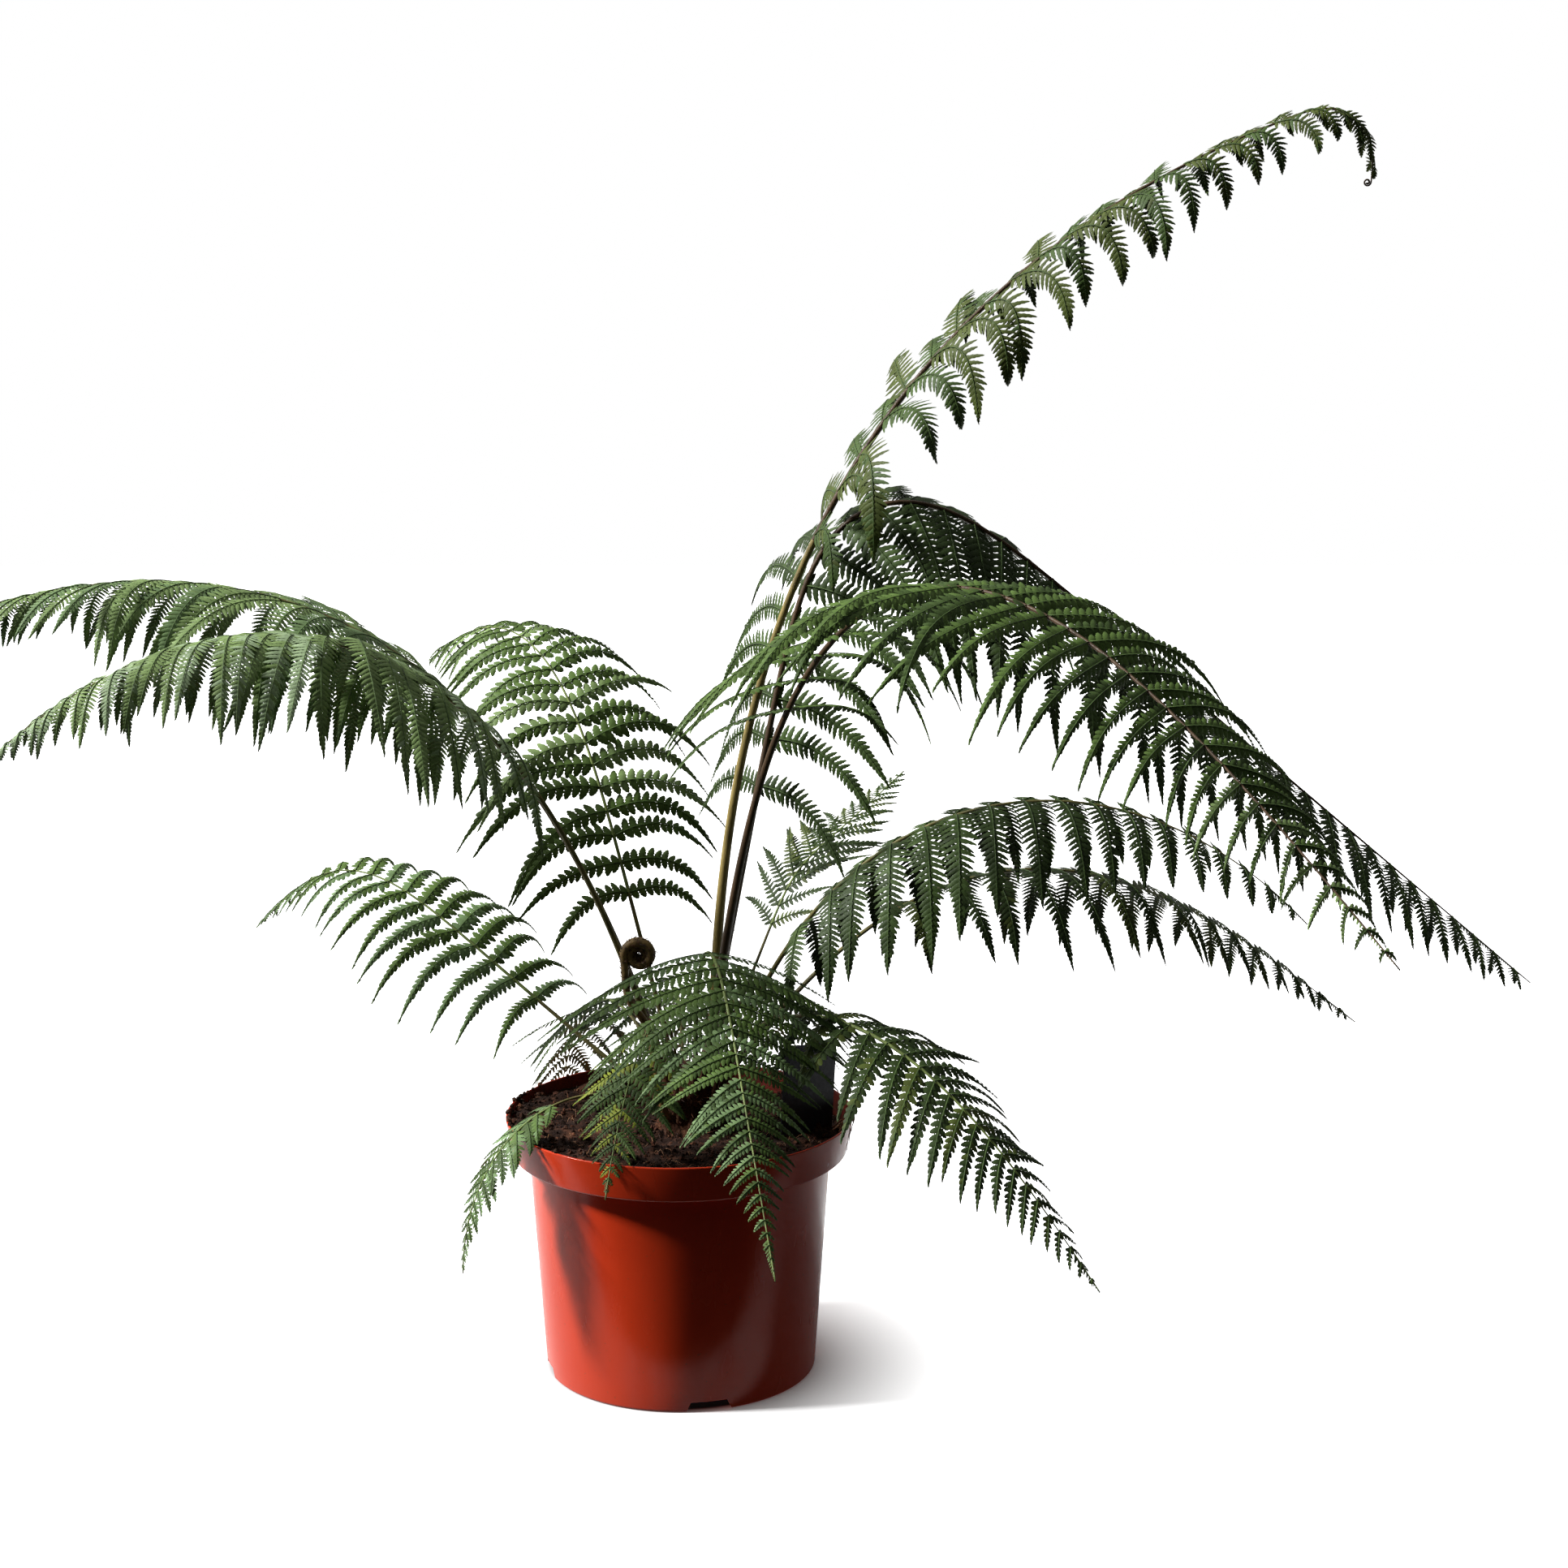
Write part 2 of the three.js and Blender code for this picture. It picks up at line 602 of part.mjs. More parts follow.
// One side branch: a thin three-sided blade that droops as it goes out
function pinnaBlade(frond, points, share, side, extraLift, reach) {
  const { stem, arch, blade } = frond;
  const along = blade.bare + (1 - blade.bare) * share;
  const place = along * CURVE_STEPS;
  const step = Math.min(Math.floor(place), CURVE_STEPS - 2);
  const base = points[step].clone().lerp(points[step + 1], place - step);
  const tangent = points[step + 2].clone().sub(points[Math.max(step - 1, 0)]).normalize();
  const azimuth = degrees(stem.azimuth + arch.sweep * along);
  const flat = new THREE.Vector3(Math.sin(azimuth), -Math.cos(azimuth), 0);
  flat.addScaledVector(tangent, -flat.dot(tangent)).normalize();
  const upper = new THREE.Vector3().crossVectors(flat, tangent);
  const roll = degrees(blade.roll * (1 - blade.unroll * share));
  const across = flat.clone().multiplyScalar(Math.cos(roll)).addScaledVector(upper, Math.sin(roll));
  const face = upper.clone().multiplyScalar(Math.cos(roll)).addScaledVector(flat, -Math.sin(roll));
  const lean = degrees((blade.lean + side * blade.skew) * (1 - LEAN_LOSS * share));
  const lift = degrees(blade.lift + extraLift);
  const outward = tangent.clone().multiplyScalar(Math.cos(lean))
    .addScaledVector(across, side * Math.sin(lean) * Math.cos(lift))
    .addScaledVector(face, Math.sin(lean) * Math.sin(lift));
  const size = blade.pinna * reachShare(share, blade) * reach;
  const half = blade.leaflet
    * (LEAST_LEAFLET_SHARE + (1 - LEAST_LEAFLET_SHARE) * reachShare(share, blade));
  const thick = Math.max(LEAST_BLADE_THICKNESS, size * BLADE_THICKNESS_SHARE);
  const droop = blade.droop * (1 + side * blade.uneven) * (1 + blade.late);
  const headingAt = (out) => outward.clone().addScaledVector(DOWN, droop * out ** blade.late).normalize();
  const spot = base.clone();
  const rings = [];
  for (let station = 0; station < PINNA_STATIONS.length; station += 1) {
    const { out, width, ridge } = PINNA_STATIONS[station];
    const heading = headingAt(out);
    const breadth = tangent.clone().addScaledVector(heading, -tangent.dot(heading)).normalize();
    const normal = new THREE.Vector3().crossVectors(heading, breadth).multiplyScalar(-side);
    const reachAcross = Math.max(half * width, LEAST_HALF_WIDTH);
    rings.push([
      spot.clone().addScaledVector(breadth, reachAcross),
      spot.clone().addScaledVector(breadth, -reachAcross),
      spot.clone().addScaledVector(normal, thick * ridge),
    ]);
    const next = PINNA_STATIONS[station + 1]?.out ?? 1;
    const stride = (next - out) / PINNA_STRIDES;
    for (let part = 0; part < PINNA_STRIDES; part += 1) {
      spot.addScaledVector(headingAt(out + (part + 0.5) * stride), size * stride);
    }
  }
  return outwardSolid(loft(rings, (ring, strip) => (strip === 0) !== twistsForward(rings, ring)));
}

function boxesApart(a, b) {
  return [0, 1, 2].some((axis) => a.min[axis] > b.max[axis] + GAP || b.min[axis] > a.max[axis] + GAP);
}

function obstacle(owner, solid) {
  return { owner, solid, box: solid.boundingBox() };
}

function isClear(solid, owner, obstacles) {
  const box = solid.boundingBox();
  return obstacles.every((other) => other.owner === owner
    || boxesApart(box, other.box)
    || solid.minGap(other.solid, 1) >= GAP);
}

// A branch that would touch a neighbour, or leave a seam in the join, is set a little higher or
// lower, then shorter, then left out
function addPinna(name, frond, points, share, side, joined, obstacles) {
  for (const reach of REACH_TRIALS) {
    for (const lift of LIFT_TRIALS) {
      const pinna = pinnaBlade(frond, points, share, side, lift, reach);
      if (!isClear(pinna, name, obstacles)) continue;
      const grown = joined.add(pinna);
      if (staysClosed(grown)) {
        obstacles.push(obstacle(name, pinna));
        return grown;
      }
    }
  }
  return joined;
}

function buildFronds(crownCut, fixedPieces) {
  const entries = Object.entries(FRONDS);
  const obstacles = fixedPieces.map((solid) => obstacle('fixed', solid));
  const stems = {};
  const ribs = {};
  for (const [name, frond] of entries) {
    ribs[name] = midrib(frond);
    stems[name] = stemSolid(frond, ribs[name], crownCut);
    obstacles.push(obstacle(name, stems[name]));
  }
  const fronds = {};
  for (const [name, frond] of entries) {
    let solid = stems[name];
    for (let pair = 0; pair < frond.blade.pairs; pair += 1) {
      const share = ((pair + FIRST_PAIR) / frond.blade.pairs) ** CROWDING;
      for (const side of [1, -1]) {
        solid = addPinna(name, frond, ribs[name], share, side, solid, obstacles);
      }
    }
    fronds[name] = largestBody(solid);
  }
  return fronds;
}

// The plant and its pot

function buildTreeFern() {
  const fern = new THREE.Group();
  const pot = buildPot();
  const soil = buildSoil();
  const crown = crownSolid(0);
  const crownCut = crownSolid(GAP);
  const label = labelPlate(0);
  const crozier = buildCrozier(crownCut);
  fern.add(piece('pot', pot, COLOURS.pot, 0.3));
  fern.add(piece('soil', soil, COLOURS.soil, 0.95));
  fern.add(piece('crown', crown, COLOURS.crown, 0.9));
  fern.add(piece('label', label, COLOURS.label, 0.6));
  fern.add(piece('crozier', crozier, COLOURS.crozier, 0.6));
  const fronds = buildFronds(crownCut, [pot, soil, crown, label, crozier]);
  Object.entries(fronds).forEach(([name, solid], at) => {
    fern.add(piece(`frond_${name}`, solid, FROND_COLOURS[at % FROND_COLOURS.length], 0.7));
  });
  return fern;
}

export default buildTreeFern();
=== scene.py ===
"""Looks of a young tree fern in a round nursery pot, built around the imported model.

Blender works in metres, with +Z up and the origin at the centre of the pot's underside.
The sizes below are in millimetres and degrees, as in the part's source.
"""

from math import atan2, cos, hypot, pi, radians, sin, sqrt
from types import SimpleNamespace as Values

import bpy
import numpy as np
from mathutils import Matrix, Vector, noise


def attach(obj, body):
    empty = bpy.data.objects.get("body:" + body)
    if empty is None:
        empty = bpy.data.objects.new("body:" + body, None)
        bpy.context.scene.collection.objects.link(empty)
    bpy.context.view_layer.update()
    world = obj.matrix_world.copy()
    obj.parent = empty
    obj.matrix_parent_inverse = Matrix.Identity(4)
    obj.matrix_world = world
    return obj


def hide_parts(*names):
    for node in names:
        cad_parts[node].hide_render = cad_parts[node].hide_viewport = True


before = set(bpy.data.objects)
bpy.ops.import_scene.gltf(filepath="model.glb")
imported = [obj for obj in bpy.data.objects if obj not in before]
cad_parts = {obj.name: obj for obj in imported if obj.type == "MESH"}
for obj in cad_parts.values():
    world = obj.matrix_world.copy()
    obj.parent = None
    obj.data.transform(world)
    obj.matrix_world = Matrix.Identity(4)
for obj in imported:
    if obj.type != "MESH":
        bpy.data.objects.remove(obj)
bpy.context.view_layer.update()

MM = 0.001
BODY = "root"
DOWN = np.array([0.0, 0.0, -1.0])
# A direction in which no tube starts
ASKEW = (0.13, -0.31, 0.94)
WHITE = (1, 1, 1, 1)
BLACK = (0, 0, 0, 1)
rng = np.random.default_rng(11)

CAMERA = Values(place=(66, -1809, 746), pitch=11.5, lens=68.44, sensor=36)
WINDOW = Values(azimuth=187, height=40, strength=5, spread=9)
# Light of the room: shares of its strength, and between which directions each of them comes in
ROOM = Values(
    strength=0.68, least=0.032, overhead=0.7, from_left=0.95, from_right=0.12, behind=(-0.32, 0.05),
    left=(0.9, -0.9), above=(0.5, 1),
)
# The floor is painted near black under the pot as painted shade, and further out has a painted glow
# that lightens the shadows cast on it; between distances from the middle in metres
FLOOR = Values(half=4000, level=-0.2, dark_to=(0.079, 0.087), glow_over=(0.08, 0.16), glow=0.9)
# What the pot's gloss shows
SHEET = Values(half=3000, level=-0.1, near=-142, white=0.9)

POT = Values(
    base_radius=85.8, body_top_radius=95.4, collar_foot=143, collar_foot_radius=106, rim_radius=110,
    height=166, wall=2, pad_radius=28, ring_inner_radius=73, under_floor=5, floor_top=8, draft=2,
    sides=240, longest_edge=12, fillet_steps=6, sharp=38,
)
NOTCH = Values(
    count=4, first_azimuth=-76.5, foot_width=30, top_width=23, height=6.5, below=1, inset=0.3, beyond=4,
)
SOIL = Values(
    level=156, left_rise=7, right_drop=4, front_rise=2, collar_flare=1.2, gap=0.3, ledge_drop=0.6,
    collar_gap=0.4, sides=200, rings=64, middle=0.02,
)
LUMPS = Values(height=1.6, x=0.21, y=0.17, shift=1.3, fine_x=0.09, fine_y=0.31, fine=0.6)
RELIEF = (
    Values(scale=0.09, start=3.1, rough=0.9, gap=2.1, octaves=4, height=1.3),
    Values(scale=0.35, start=7.7, rough=0.8, gap=2.2, octaves=3, height=0.55),
)
# Crumbs on the compost and in a heap by the rim, which lies round an azimuth with a spread
CRUMBS = Values(
    count=2600, size=(0.5, 1), lump=2, rarity=5, corner=(0.6, 1.25), side=(0.6, 1.2), lift=0.2,
    rim_count=150, rim_size=(0.5, 1.9), rim_lift=0.4, heap=(188, 26), heap_width=(7, 0.6), on_rim=2.5,
)
FIBRES = Values(
    count=260, length=(5, 18), steps=7, fewest=4, spread=0.97, wander=0.35, rest=0.5, lift=(0.5, 3.2),
    radii=(0.28, 0.12), sides=3,
)
# Roots that hang over the rim: two at the front by azimuth, start, drop and drift, and a few more
ROOTS = Values(
    front=((-62, 16, 11, 6), (-66, 12, 7, 4)), count=9, azimuth=(-14, 4), start=(6, 14), drop=(6, 20),
    drift=(-5, 5), radii=(0.42, 0.16), steps=6, sides=4,
)

# Steps of the crown are radius and height above its foot
CROWN = Values(
    x=7, y=0, foot=156.4, height=42, sides=120, rings=44,
    steps=[(24, 0), (21, 6), (18.5, 16), (17.5, 26), (14, 34), (8, 40), (1.5, 42)],
    sunk=3, core=0.97,
)
CROWN_FIBRES = (
    Values(scale=6, rise=0.05, start=0, rough=0.8, gap=2.2, octaves=4, height=0.07),
    Values(scale=16, rise=0.09, start=5, rough=0.7, gap=2, octaves=2, height=0.04),
)
LABEL = Values(
    x=80, y=-2, turn=38, lean=4, width=41, top=56, foot=4, spike=26, spike_width=14, thick=1,
    corner=5, bow=1.2, columns=15, rows=14, corner_rows=8, sunk=1, sharp=40,
)
CROZIER = Values(
    route=[(3, -4, 166), (-9, -17, 172), (-18, -23, 225), (-30, -28, 248), (-32.6, -29, 272)],
    foot_radius=2.3, top_radius=2.5, centre=(-23.5, -29, 276), hub_radius=1.6, turns=2.2, swell=3.5,
    swell_at=0.12, end_radius=1.6, drift=1.6, tightening=0.8, route_steps=10, coil_steps=90, sides=10,
)

# Rules that all the fronds share, as in the part's source
ROOT_DEPTH = Values(inward=10, down=6)
CURVE_STEPS = 120
CURL_FROM = 0.9
CROWDING = 0.88
FIRST_PAIR = 0.15
BASE_REACH = 0.65
LEAN_LOSS = 0.35
LEAST_LEAFLET_SHARE = 0.2

# Shares of a side branch: the middle of each step, and the steps' ends
PINNA_STEPS = 16
MIDDLES = (np.arange(PINNA_STEPS) + 0.5) / PINNA_STEPS
ENDS = np.arange(PINNA_STEPS + 1) / PINNA_STEPS

# How far a side branch strays where wild is 1: degrees, and shares of its size and droop
STRAY = Values(lean=7, lift=5, size=0.06, droop=0.25, bow=18, twist=20)
HOOK = Values(least=0.2, most=1.3, start=0.7, over=0.3)

# Leaflets.  The share of a branch at which they stand makes them shorter, closer and steeper, and
# past close_from they touch.  The others are shares of a leaflet's length or of the spacing.
LEAFLET = Values(
    fade=1.7, foot=0.72, foot_gain=0.28, foot_over=0.12, least=0.6, crowd=0.4, sparse=1.5,
    close_from=0.55, close_over=0.4, closed=2, widest=3.2, slant=80, steepen=32, late=1.5, bend=0.1,
    sweep=0.12, fold=0.32, teeth=4, lobes=2, toothed_from=4.5, tooth_at=0.62, notch=0.8,
    short_pitch=0.42, long_pitch=0.58, pitch_by=1.15, first=0.6, last=0.3,
)
END_LEAFLET = Values(back=0.4, length=0.8, width=0.3, curl=0.1)
# Outline of a unit leaflet: half its width, two powers that round it, and the wing at its foot
OUTLINE = Values(half=0.5, blunt=3, full=0.65, wing=0.14, wing_reach=0.1)
# From where on, at the earliest and at the latest, side branches have the tint of the tip
TIP_TINT_FROM = (0.72, 0.9)
# Chance in each leaflet: its turn, tilt and length, the range of its curl, and how often it keeps
# the tint of its branch
CHANCE = Values(turn=0.06, tilt=0.12, length=0.06, curl=(0.6, 1.4), own_tint=0.8)
STALK = Values(
    flare=0.45, flare_over=0.02, loss=0.88, loss_power=0.8, thinnest=0.4, sides=10, groove=0.22,
    scaly=34, lift=0.6,
)
RIB = Values(lift=0.12, thickest=0.5, thick=0.25, growth=0.02, tip=0.16, sides=3)
COIL = Values(turns=1.4, steps=22, chord=8, shrink=0.5, end_radius=0.7)
TIP = Values(
    start=0.94, reach=0.4, fade=1.3, slant=62, steepen=20, spread=3, width=0.34, wide=1.4, step=0.36,
    far=1.3, closing=0.6, curl=0.4,
)
HAIR = Values(bend=0.12, middle=0.5, middle_bend=0.4, middle_width=0.8)
STEM_HAIRS = Values(
    per_mm=26, spread=26, reach=0.35, along=(-0.3, 0.9), stray=0.2, depth=0.95, length=(2, 7),
    width=0.35,
)
CROWN_HAIRS = Values(
    count=700, height=(0.05, 1), sunk=2, depth=0.97, rise=(0, 1.4), stray=0.35, length=(3, 9),
    width=0.5,
)
SCALES = Values(count=900, along=0.8, out=(0.15, 0.8), depth=0.97, length=(1.2, 3.2), width=0.55)

# Values of a frond that names none of its own
USUAL = dict(
    tip_curl=0, skew=0, uneven=0, late=1, roll=0, unroll=0, wide=0.25, taper=0.85, curl=0.2, hook=0,
    tilt=0, point=1, stipe="olive", rachis="green", coil=0,
)


def grown(**values):
    """Values of a frond, with the usual ones filled in."""
    return Values(**{**USUAL, **values})


def back_frond(**values):
    """One of the low fronds behind the plant, which differ little."""
    return grown(
        out=18, thick=3, soft=0.14, sweep=0, bare=0.3, leaflet=8, lean=78, lift=-5, droop=0.5,
        pitch=4.2, fill=0.8, curl=0.25, wild=0.8, tip="mid", **values,
    )


# Fronds, with the full number of side branches.  Their values in turn:
# - Stem: where it leaves the crown, and how long and thick it is.
# - Arch: elevation at foot and tip, where along it and how softly it bends, turn of azimuth, and curl
#   of the tip.
# - Blade: bare share of the stem, pairs of side branches and the size and set of these.  skew and
#   uneven part the two sides in lean and in droop, late puts the droop off towards a branch's end,
#   unroll takes the roll back towards the tip, and wide and taper shape the outline.
# - Look: spacing of the leaflets, how much of it each fills near the rib, how they curl, how far the
#   side branches stray, hook and tilt, how early they get narrow, the radius of a rolled tip, and the
#   tints of leaf and stalk.
FRONDS = dict(
    tall_right=grown(
        azimuth=2, turn=0, out=14, level=28, length=832, thick=8,
        rise=90, fall=15, at=0.57, soft=0.23, sweep=6, tip_curl=110,
        bare=0.42, pairs=22, pinna=84, leaflet=15.5, lean=60, skew=-18, lift=3, droop=1.5,
        uneven=0.55, late=2.2, roll=-5, wide=0.1, taper=0.5,
        pitch=4.4, fill=0.88, hook=70, wild=1.2, tints=("mid", "mid", "moss"), tip="moss",
        stipe="straw", rachis="brown", coil=2.4,
    ),
    near_right=grown(
        azimuth=-42, turn=-10, out=14, level=26, length=792, thick=6.5,
        rise=80, fall=-36, at=0.48, soft=0.1, sweep=-10,
        bare=0.33, pairs=32, pinna=156, leaflet=8, lean=96, skew=-3, lift=0, droop=0.5,
        uneven=-0.25, late=2.1,
        pitch=5.6, fill=1.15, curl=0.35, wild=0.5, tilt=-35, tints=("mid", "bright", "bright"),
        tip="light", stipe="brown", rachis="brown",
    ),
    long_left=grown(
        azimuth=170, turn=-14, out=14, level=26, length=640, thick=5,
        rise=72, fall=-20, at=0.6, soft=0.19, sweep=22,
        bare=0.42, pairs=28, pinna=135, leaflet=12.5, lean=56, lift=6, droop=0.9, late=1.5, roll=-5,
        pitch=4.4, fill=0.9, wild=0.8, tints=("light", "blue", "light"), tip="light",
        stipe="brown", rachis="olive",
    ),
    near_left=grown(
        azimuth=203, turn=6, out=14, level=26, length=597, thick=5,
        rise=72, fall=-40, at=0.66, soft=0.16, sweep=-4,
        bare=0.42, pairs=29, pinna=123, leaflet=12.5, lean=84, lift=12, droop=1.45, late=1.3,
        roll=-5,
        pitch=4.2, fill=0.95, curl=0.18, wild=0.85, tints=("light", "light", "pale"), tip="pale",
        rachis="olive",
    ),
    far_right=grown(
        azimuth=10, turn=50, out=13, level=28, length=934, thick=6,
        rise=79, fall=-40, at=0.415, soft=0.03, sweep=-6,
        bare=0.2, pairs=36, pinna=130, leaflet=13, lean=80, lift=-16, droop=0.75, uneven=0.1,
        late=1.3, roll=-38, unroll=1, wide=0.3, taper=0.6,
        pitch=5, fill=1, curl=0.25, wild=0.6, tints=("deep", "mid", "deep"), tip="deep",
        stipe="brown", rachis="brown",
    ),
    low_right=grown(
        azimuth=-12, turn=-8, out=18, level=18, length=487, thick=4.5,
        rise=74, fall=-46, at=0.61, soft=0.26, sweep=2,
        bare=0.26, pairs=17, pinna=108, leaflet=15, lean=82, lift=8, droop=1.7, late=1.3,
        pitch=4.6, fill=1, curl=0.18, wild=0.45, tilt=-15, tints=("deep", "deep", "mid"),
        tip="deep", rachis="olive",
    ),
    low_right_back=grown(
        azimuth=25, turn=12, out=18, level=18, length=533, thick=4,
        rise=50, fall=-39, at=0.44, soft=0.15, sweep=-15,
        bare=0.32, pairs=17, pinna=100, leaflet=13, lean=84, lift=8, droop=1.3, late=1.3, roll=10,
        pitch=4.6, fill=1, curl=0.18, wild=0.5, tilt=-15, tints=("deep", "deep", "moss"),
        tip="deep", rachis="olive",
    ),
    back_left=grown(
        azimuth=135, turn=-15, out=15, level=24, length=472, thick=3.6,
        rise=68, fall=-27, at=0.67, soft=0.09, sweep=-14,
        bare=0.26, pairs=24, pinna=105, leaflet=9, lean=85, lift=4, droop=0.75, late=1.4, roll=16,
        pitch=6.2, fill=1.15, curl=0.3, wild=0.6, tints=("bright", "light", "bright"), tip="bright",
    ),
    small_left=grown(
        azimuth=160, turn=8, out=18, level=14, length=370, thick=3.6,
        rise=34, fall=-43, at=0.73, soft=0.07, sweep=-15,
        bare=0.28, pairs=18, pinna=86, leaflet=8, lean=85, lift=8, droop=0.6, late=1.5, roll=14,
        pitch=5, fill=1.25, curl=0.3, wild=0.35, point=1.3, tints=("bright", "blue", "bright"),
        tip="blue",
    ),
    front=grown(
        azimuth=-78, turn=0, out=16, level=22, length=362, thick=3.6,
        rise=88, fall=-47, at=0.33, soft=0.07, sweep=2,
        bare=0.36, pairs=27, pinna=120, leaflet=8, lean=85, lift=-5, droop=0.4, roll=5, wide=0.05,
        taper=1.5,
        pitch=4.4, fill=1.1, curl=0.25, wild=0.5, tints=("mid", "bright", "blue"), tip="bright",
        stipe="green",
    ),
    front_right=grown(
        azimuth=-38, turn=-10, out=20, level=16, length=366, thick=4,
        rise=83, fall=-52, at=0.14, soft=0.2, sweep=10,
        bare=0.3, pairs=21, pinna=82, leaflet=8.5, lean=82, lift=0, droop=0.5, roll=-5, taper=1,
        pitch=6, fill=1.2, curl=0.25, wild=0.6, tints=("deep", "deep", "deep", "moss"), tip="deep",
    ),
    young_right=grown(
        azimuth=42, turn=18, out=17, level=20, length=280, thick=3.2,
        rise=59, fall=21, at=0.54, soft=0.04, sweep=12,
        bare=0.4, pairs=17, pinna=52, leaflet=7, lean=52, lift=8, droop=0.2,
        pitch=4, fill=0.9, wild=0.7, tints=("deep", "deep", "moss"), tip="mid",
    ),
    front_small=grown(
        azimuth=-130, turn=20, out=20, level=10, length=206, thick=2.6,
        rise=87, fall=-50, at=0.37, soft=0.05, sweep=31,
        bare=0.42, pairs=15, pinna=50, leaflet=6, lean=70, lift=-5, droop=0.3, taper=1.2,
        pitch=3.4, fill=0.9, wild=0.7, tints=("mid", "bright", "mid", "mid", "yellow"), tip="mid",
    ),
    front_left_small=grown(
        azimuth=-150, turn=0, out=19, level=10, length=207, thick=2.6,
        rise=42, fall=-88, at=0.36, soft=0.33, sweep=0,
        bare=0.4, pairs=17, pinna=30, leaflet=6, lean=65, lift=-5, droop=0.3,
        pitch=3.4, fill=1.15, wild=0.7, tints=("bright", "mid", "blue"), tip="pale",
    ),
    back_low_right=back_frond(
        azimuth=68, turn=12, level=11, length=285, rise=52, fall=-70, at=0.4, pairs=18, pinna=75,
        tints=("mid", "deep", "bright"),
    ),
    back_low=back_frond(
        azimuth=95, turn=8, level=9, length=300, rise=48, fall=-72, at=0.38, pairs=18, pinna=80,
        tints=("mid", "bright", "deep"),
    ),
    back_low_left=back_frond(
        azimuth=120, turn=12, level=10, length=250, rise=50, fall=-70, at=0.42, pairs=16, pinna=65,
        tints=("mid", "deep", "bright"),
    ),
)

# Screen colours of leaves and stalks, in 0 to 255
# Leaf tints are partly painted light and shade: light, pale and blue tints on the lit left fronds and
# frond tips stand in for sun, sheen and light through the leaves, and deep tints on fronds in the
# plant's shade stand in for shade
LEAF_TINTS = dict(
    deep=(50, 67, 29), mid=(68, 89, 42), bright=(88, 113, 53), blue=(112, 138, 90),
    light=(126, 150, 92), pale=(152, 174, 132), moss=(76, 88, 36), yellow=(142, 154, 50),
)
STALK_TINTS = dict(
    straw=(146, 128, 74), brown=(78, 58, 36), olive=(106, 100, 54), green=(118, 134, 72),
    base=(84, 54, 34), rib=(76, 98, 50),
)


# Meshes


def unit(vectors):
    return vectors / np.linalg.norm(vectors, axis=-1, keepdims=True)


def level_direction(angle):
    return np.array([cos(angle), sin(angle), 0])


def any_side(direction):
    """A random direction at right angles to another."""
    return unit(np.cross(direction, rng.normal(0, 1, 3)))


def add_object(name, data):
    thing = bpy.data.objects.new(name, data)
    bpy.context.scene.collection.objects.link(thing)
    return thing


def make_piece(name, points, faces, materials, tints=None, smooth=True):
    """Mesh object of triangles, from points in millimetres."""
    mesh = bpy.data.meshes.new(name)
    mesh.from_pydata(np.asarray(points) * MM, [], np.asarray(faces))
    for material in materials:
        mesh.materials.append(material)
    if tints is not None:
        mesh.polygons.foreach_set("material_index", np.asarray(tints, dtype=np.int32))
    mesh.polygons.foreach_set("use_smooth", np.full(len(faces), smooth))
    mesh.update(calc_edges=True)
    mesh.validate()
    return add_object(name, mesh)


def hand_over(piece, slot, *nodes):
    """Hang the piece on its body and hide the imported parts it stands for; slot, what it is made of,
    is not used.
    """
    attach(piece, BODY)
    if nodes:
        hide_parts(*nodes)


class Bundle:
    """Points, faces and tints of many small meshes, joined into one."""

    def __init__(self):
        self.points, self.faces, self.tints, self.count = [], [], [], 0

    def add(self, points, faces, tint=0):
        faces = np.asarray(faces)
        self.points.append(np.asarray(points))
        self.faces.append(faces + self.count)
        self.tints.append(np.broadcast_to(tint, len(faces)))
        self.count += len(points)

    def piece(self, name, materials, smooth=True):
        return make_piece(
            name, np.vstack(self.points), np.vstack(self.faces), materials,
            np.concatenate(self.tints), smooth,
        )


def ring(radius, z, sides):
    """Points of a level ring round the pot's axis."""
    angles = 2 * pi * np.arange(sides) / sides
    return np.stack([radius * np.cos(angles), radius * np.sin(angles), np.full(sides, z)], axis=1)


def ring_faces(rings, sides, closed=True):
    """Triangles of the wall between rings of points."""
    faces = []
    last = sides if closed else sides - 1
    for row in range(rings - 1):
        for side in range(last):
            a = row * sides + side
            b = row * sides + (side + 1) % sides
            faces.append((a, b, b + sides))
            faces.append((a, b + sides, a + sides))
    return np.array(faces)


def cap_faces(sides, first, facing_down):
    """Triangles that fill a ring of points, of which this is the first."""
    fan = [(first, first + side, first + side + 1) for side in range(1, sides - 1)]
    return np.array([(a, c, b) if facing_down else (a, b, c) for a, b, c in fan])


def closed_faces(rings, sides):
    """Triangles of the wall between rings of points, with the first and the last ring filled."""
    last = (rings - 1) * sides
    return np.vstack([
        ring_faces(rings, sides), cap_faces(sides, 0, True), cap_faces(sides, last, False),
    ])


def tube(points, radii, sides, groove=0):
    """Closed tube along points, with an optional groove along its upper side."""
    points = np.asarray(points, dtype=float)
    tangents = unit(np.gradient(points, axis=0))
    across = np.cross(tangents[0], ASKEW)
    rings = []
    angles = 2 * pi * np.arange(sides) / sides
    for spot, tangent, radius in zip(points, tangents, radii):
        across = unit(across - across.dot(tangent) * tangent)
        second = np.cross(tangent, across)
        depth = np.ones(sides)
        depth[np.argmax(np.cos(angles) * across[2] + np.sin(angles) * second[2])] -= groove
        rings.append(
            spot + radius * depth[:, None]
            * (np.cos(angles)[:, None] * across + np.sin(angles)[:, None] * second)
        )
    return np.vstack(rings), closed_faces(len(rings), sides)


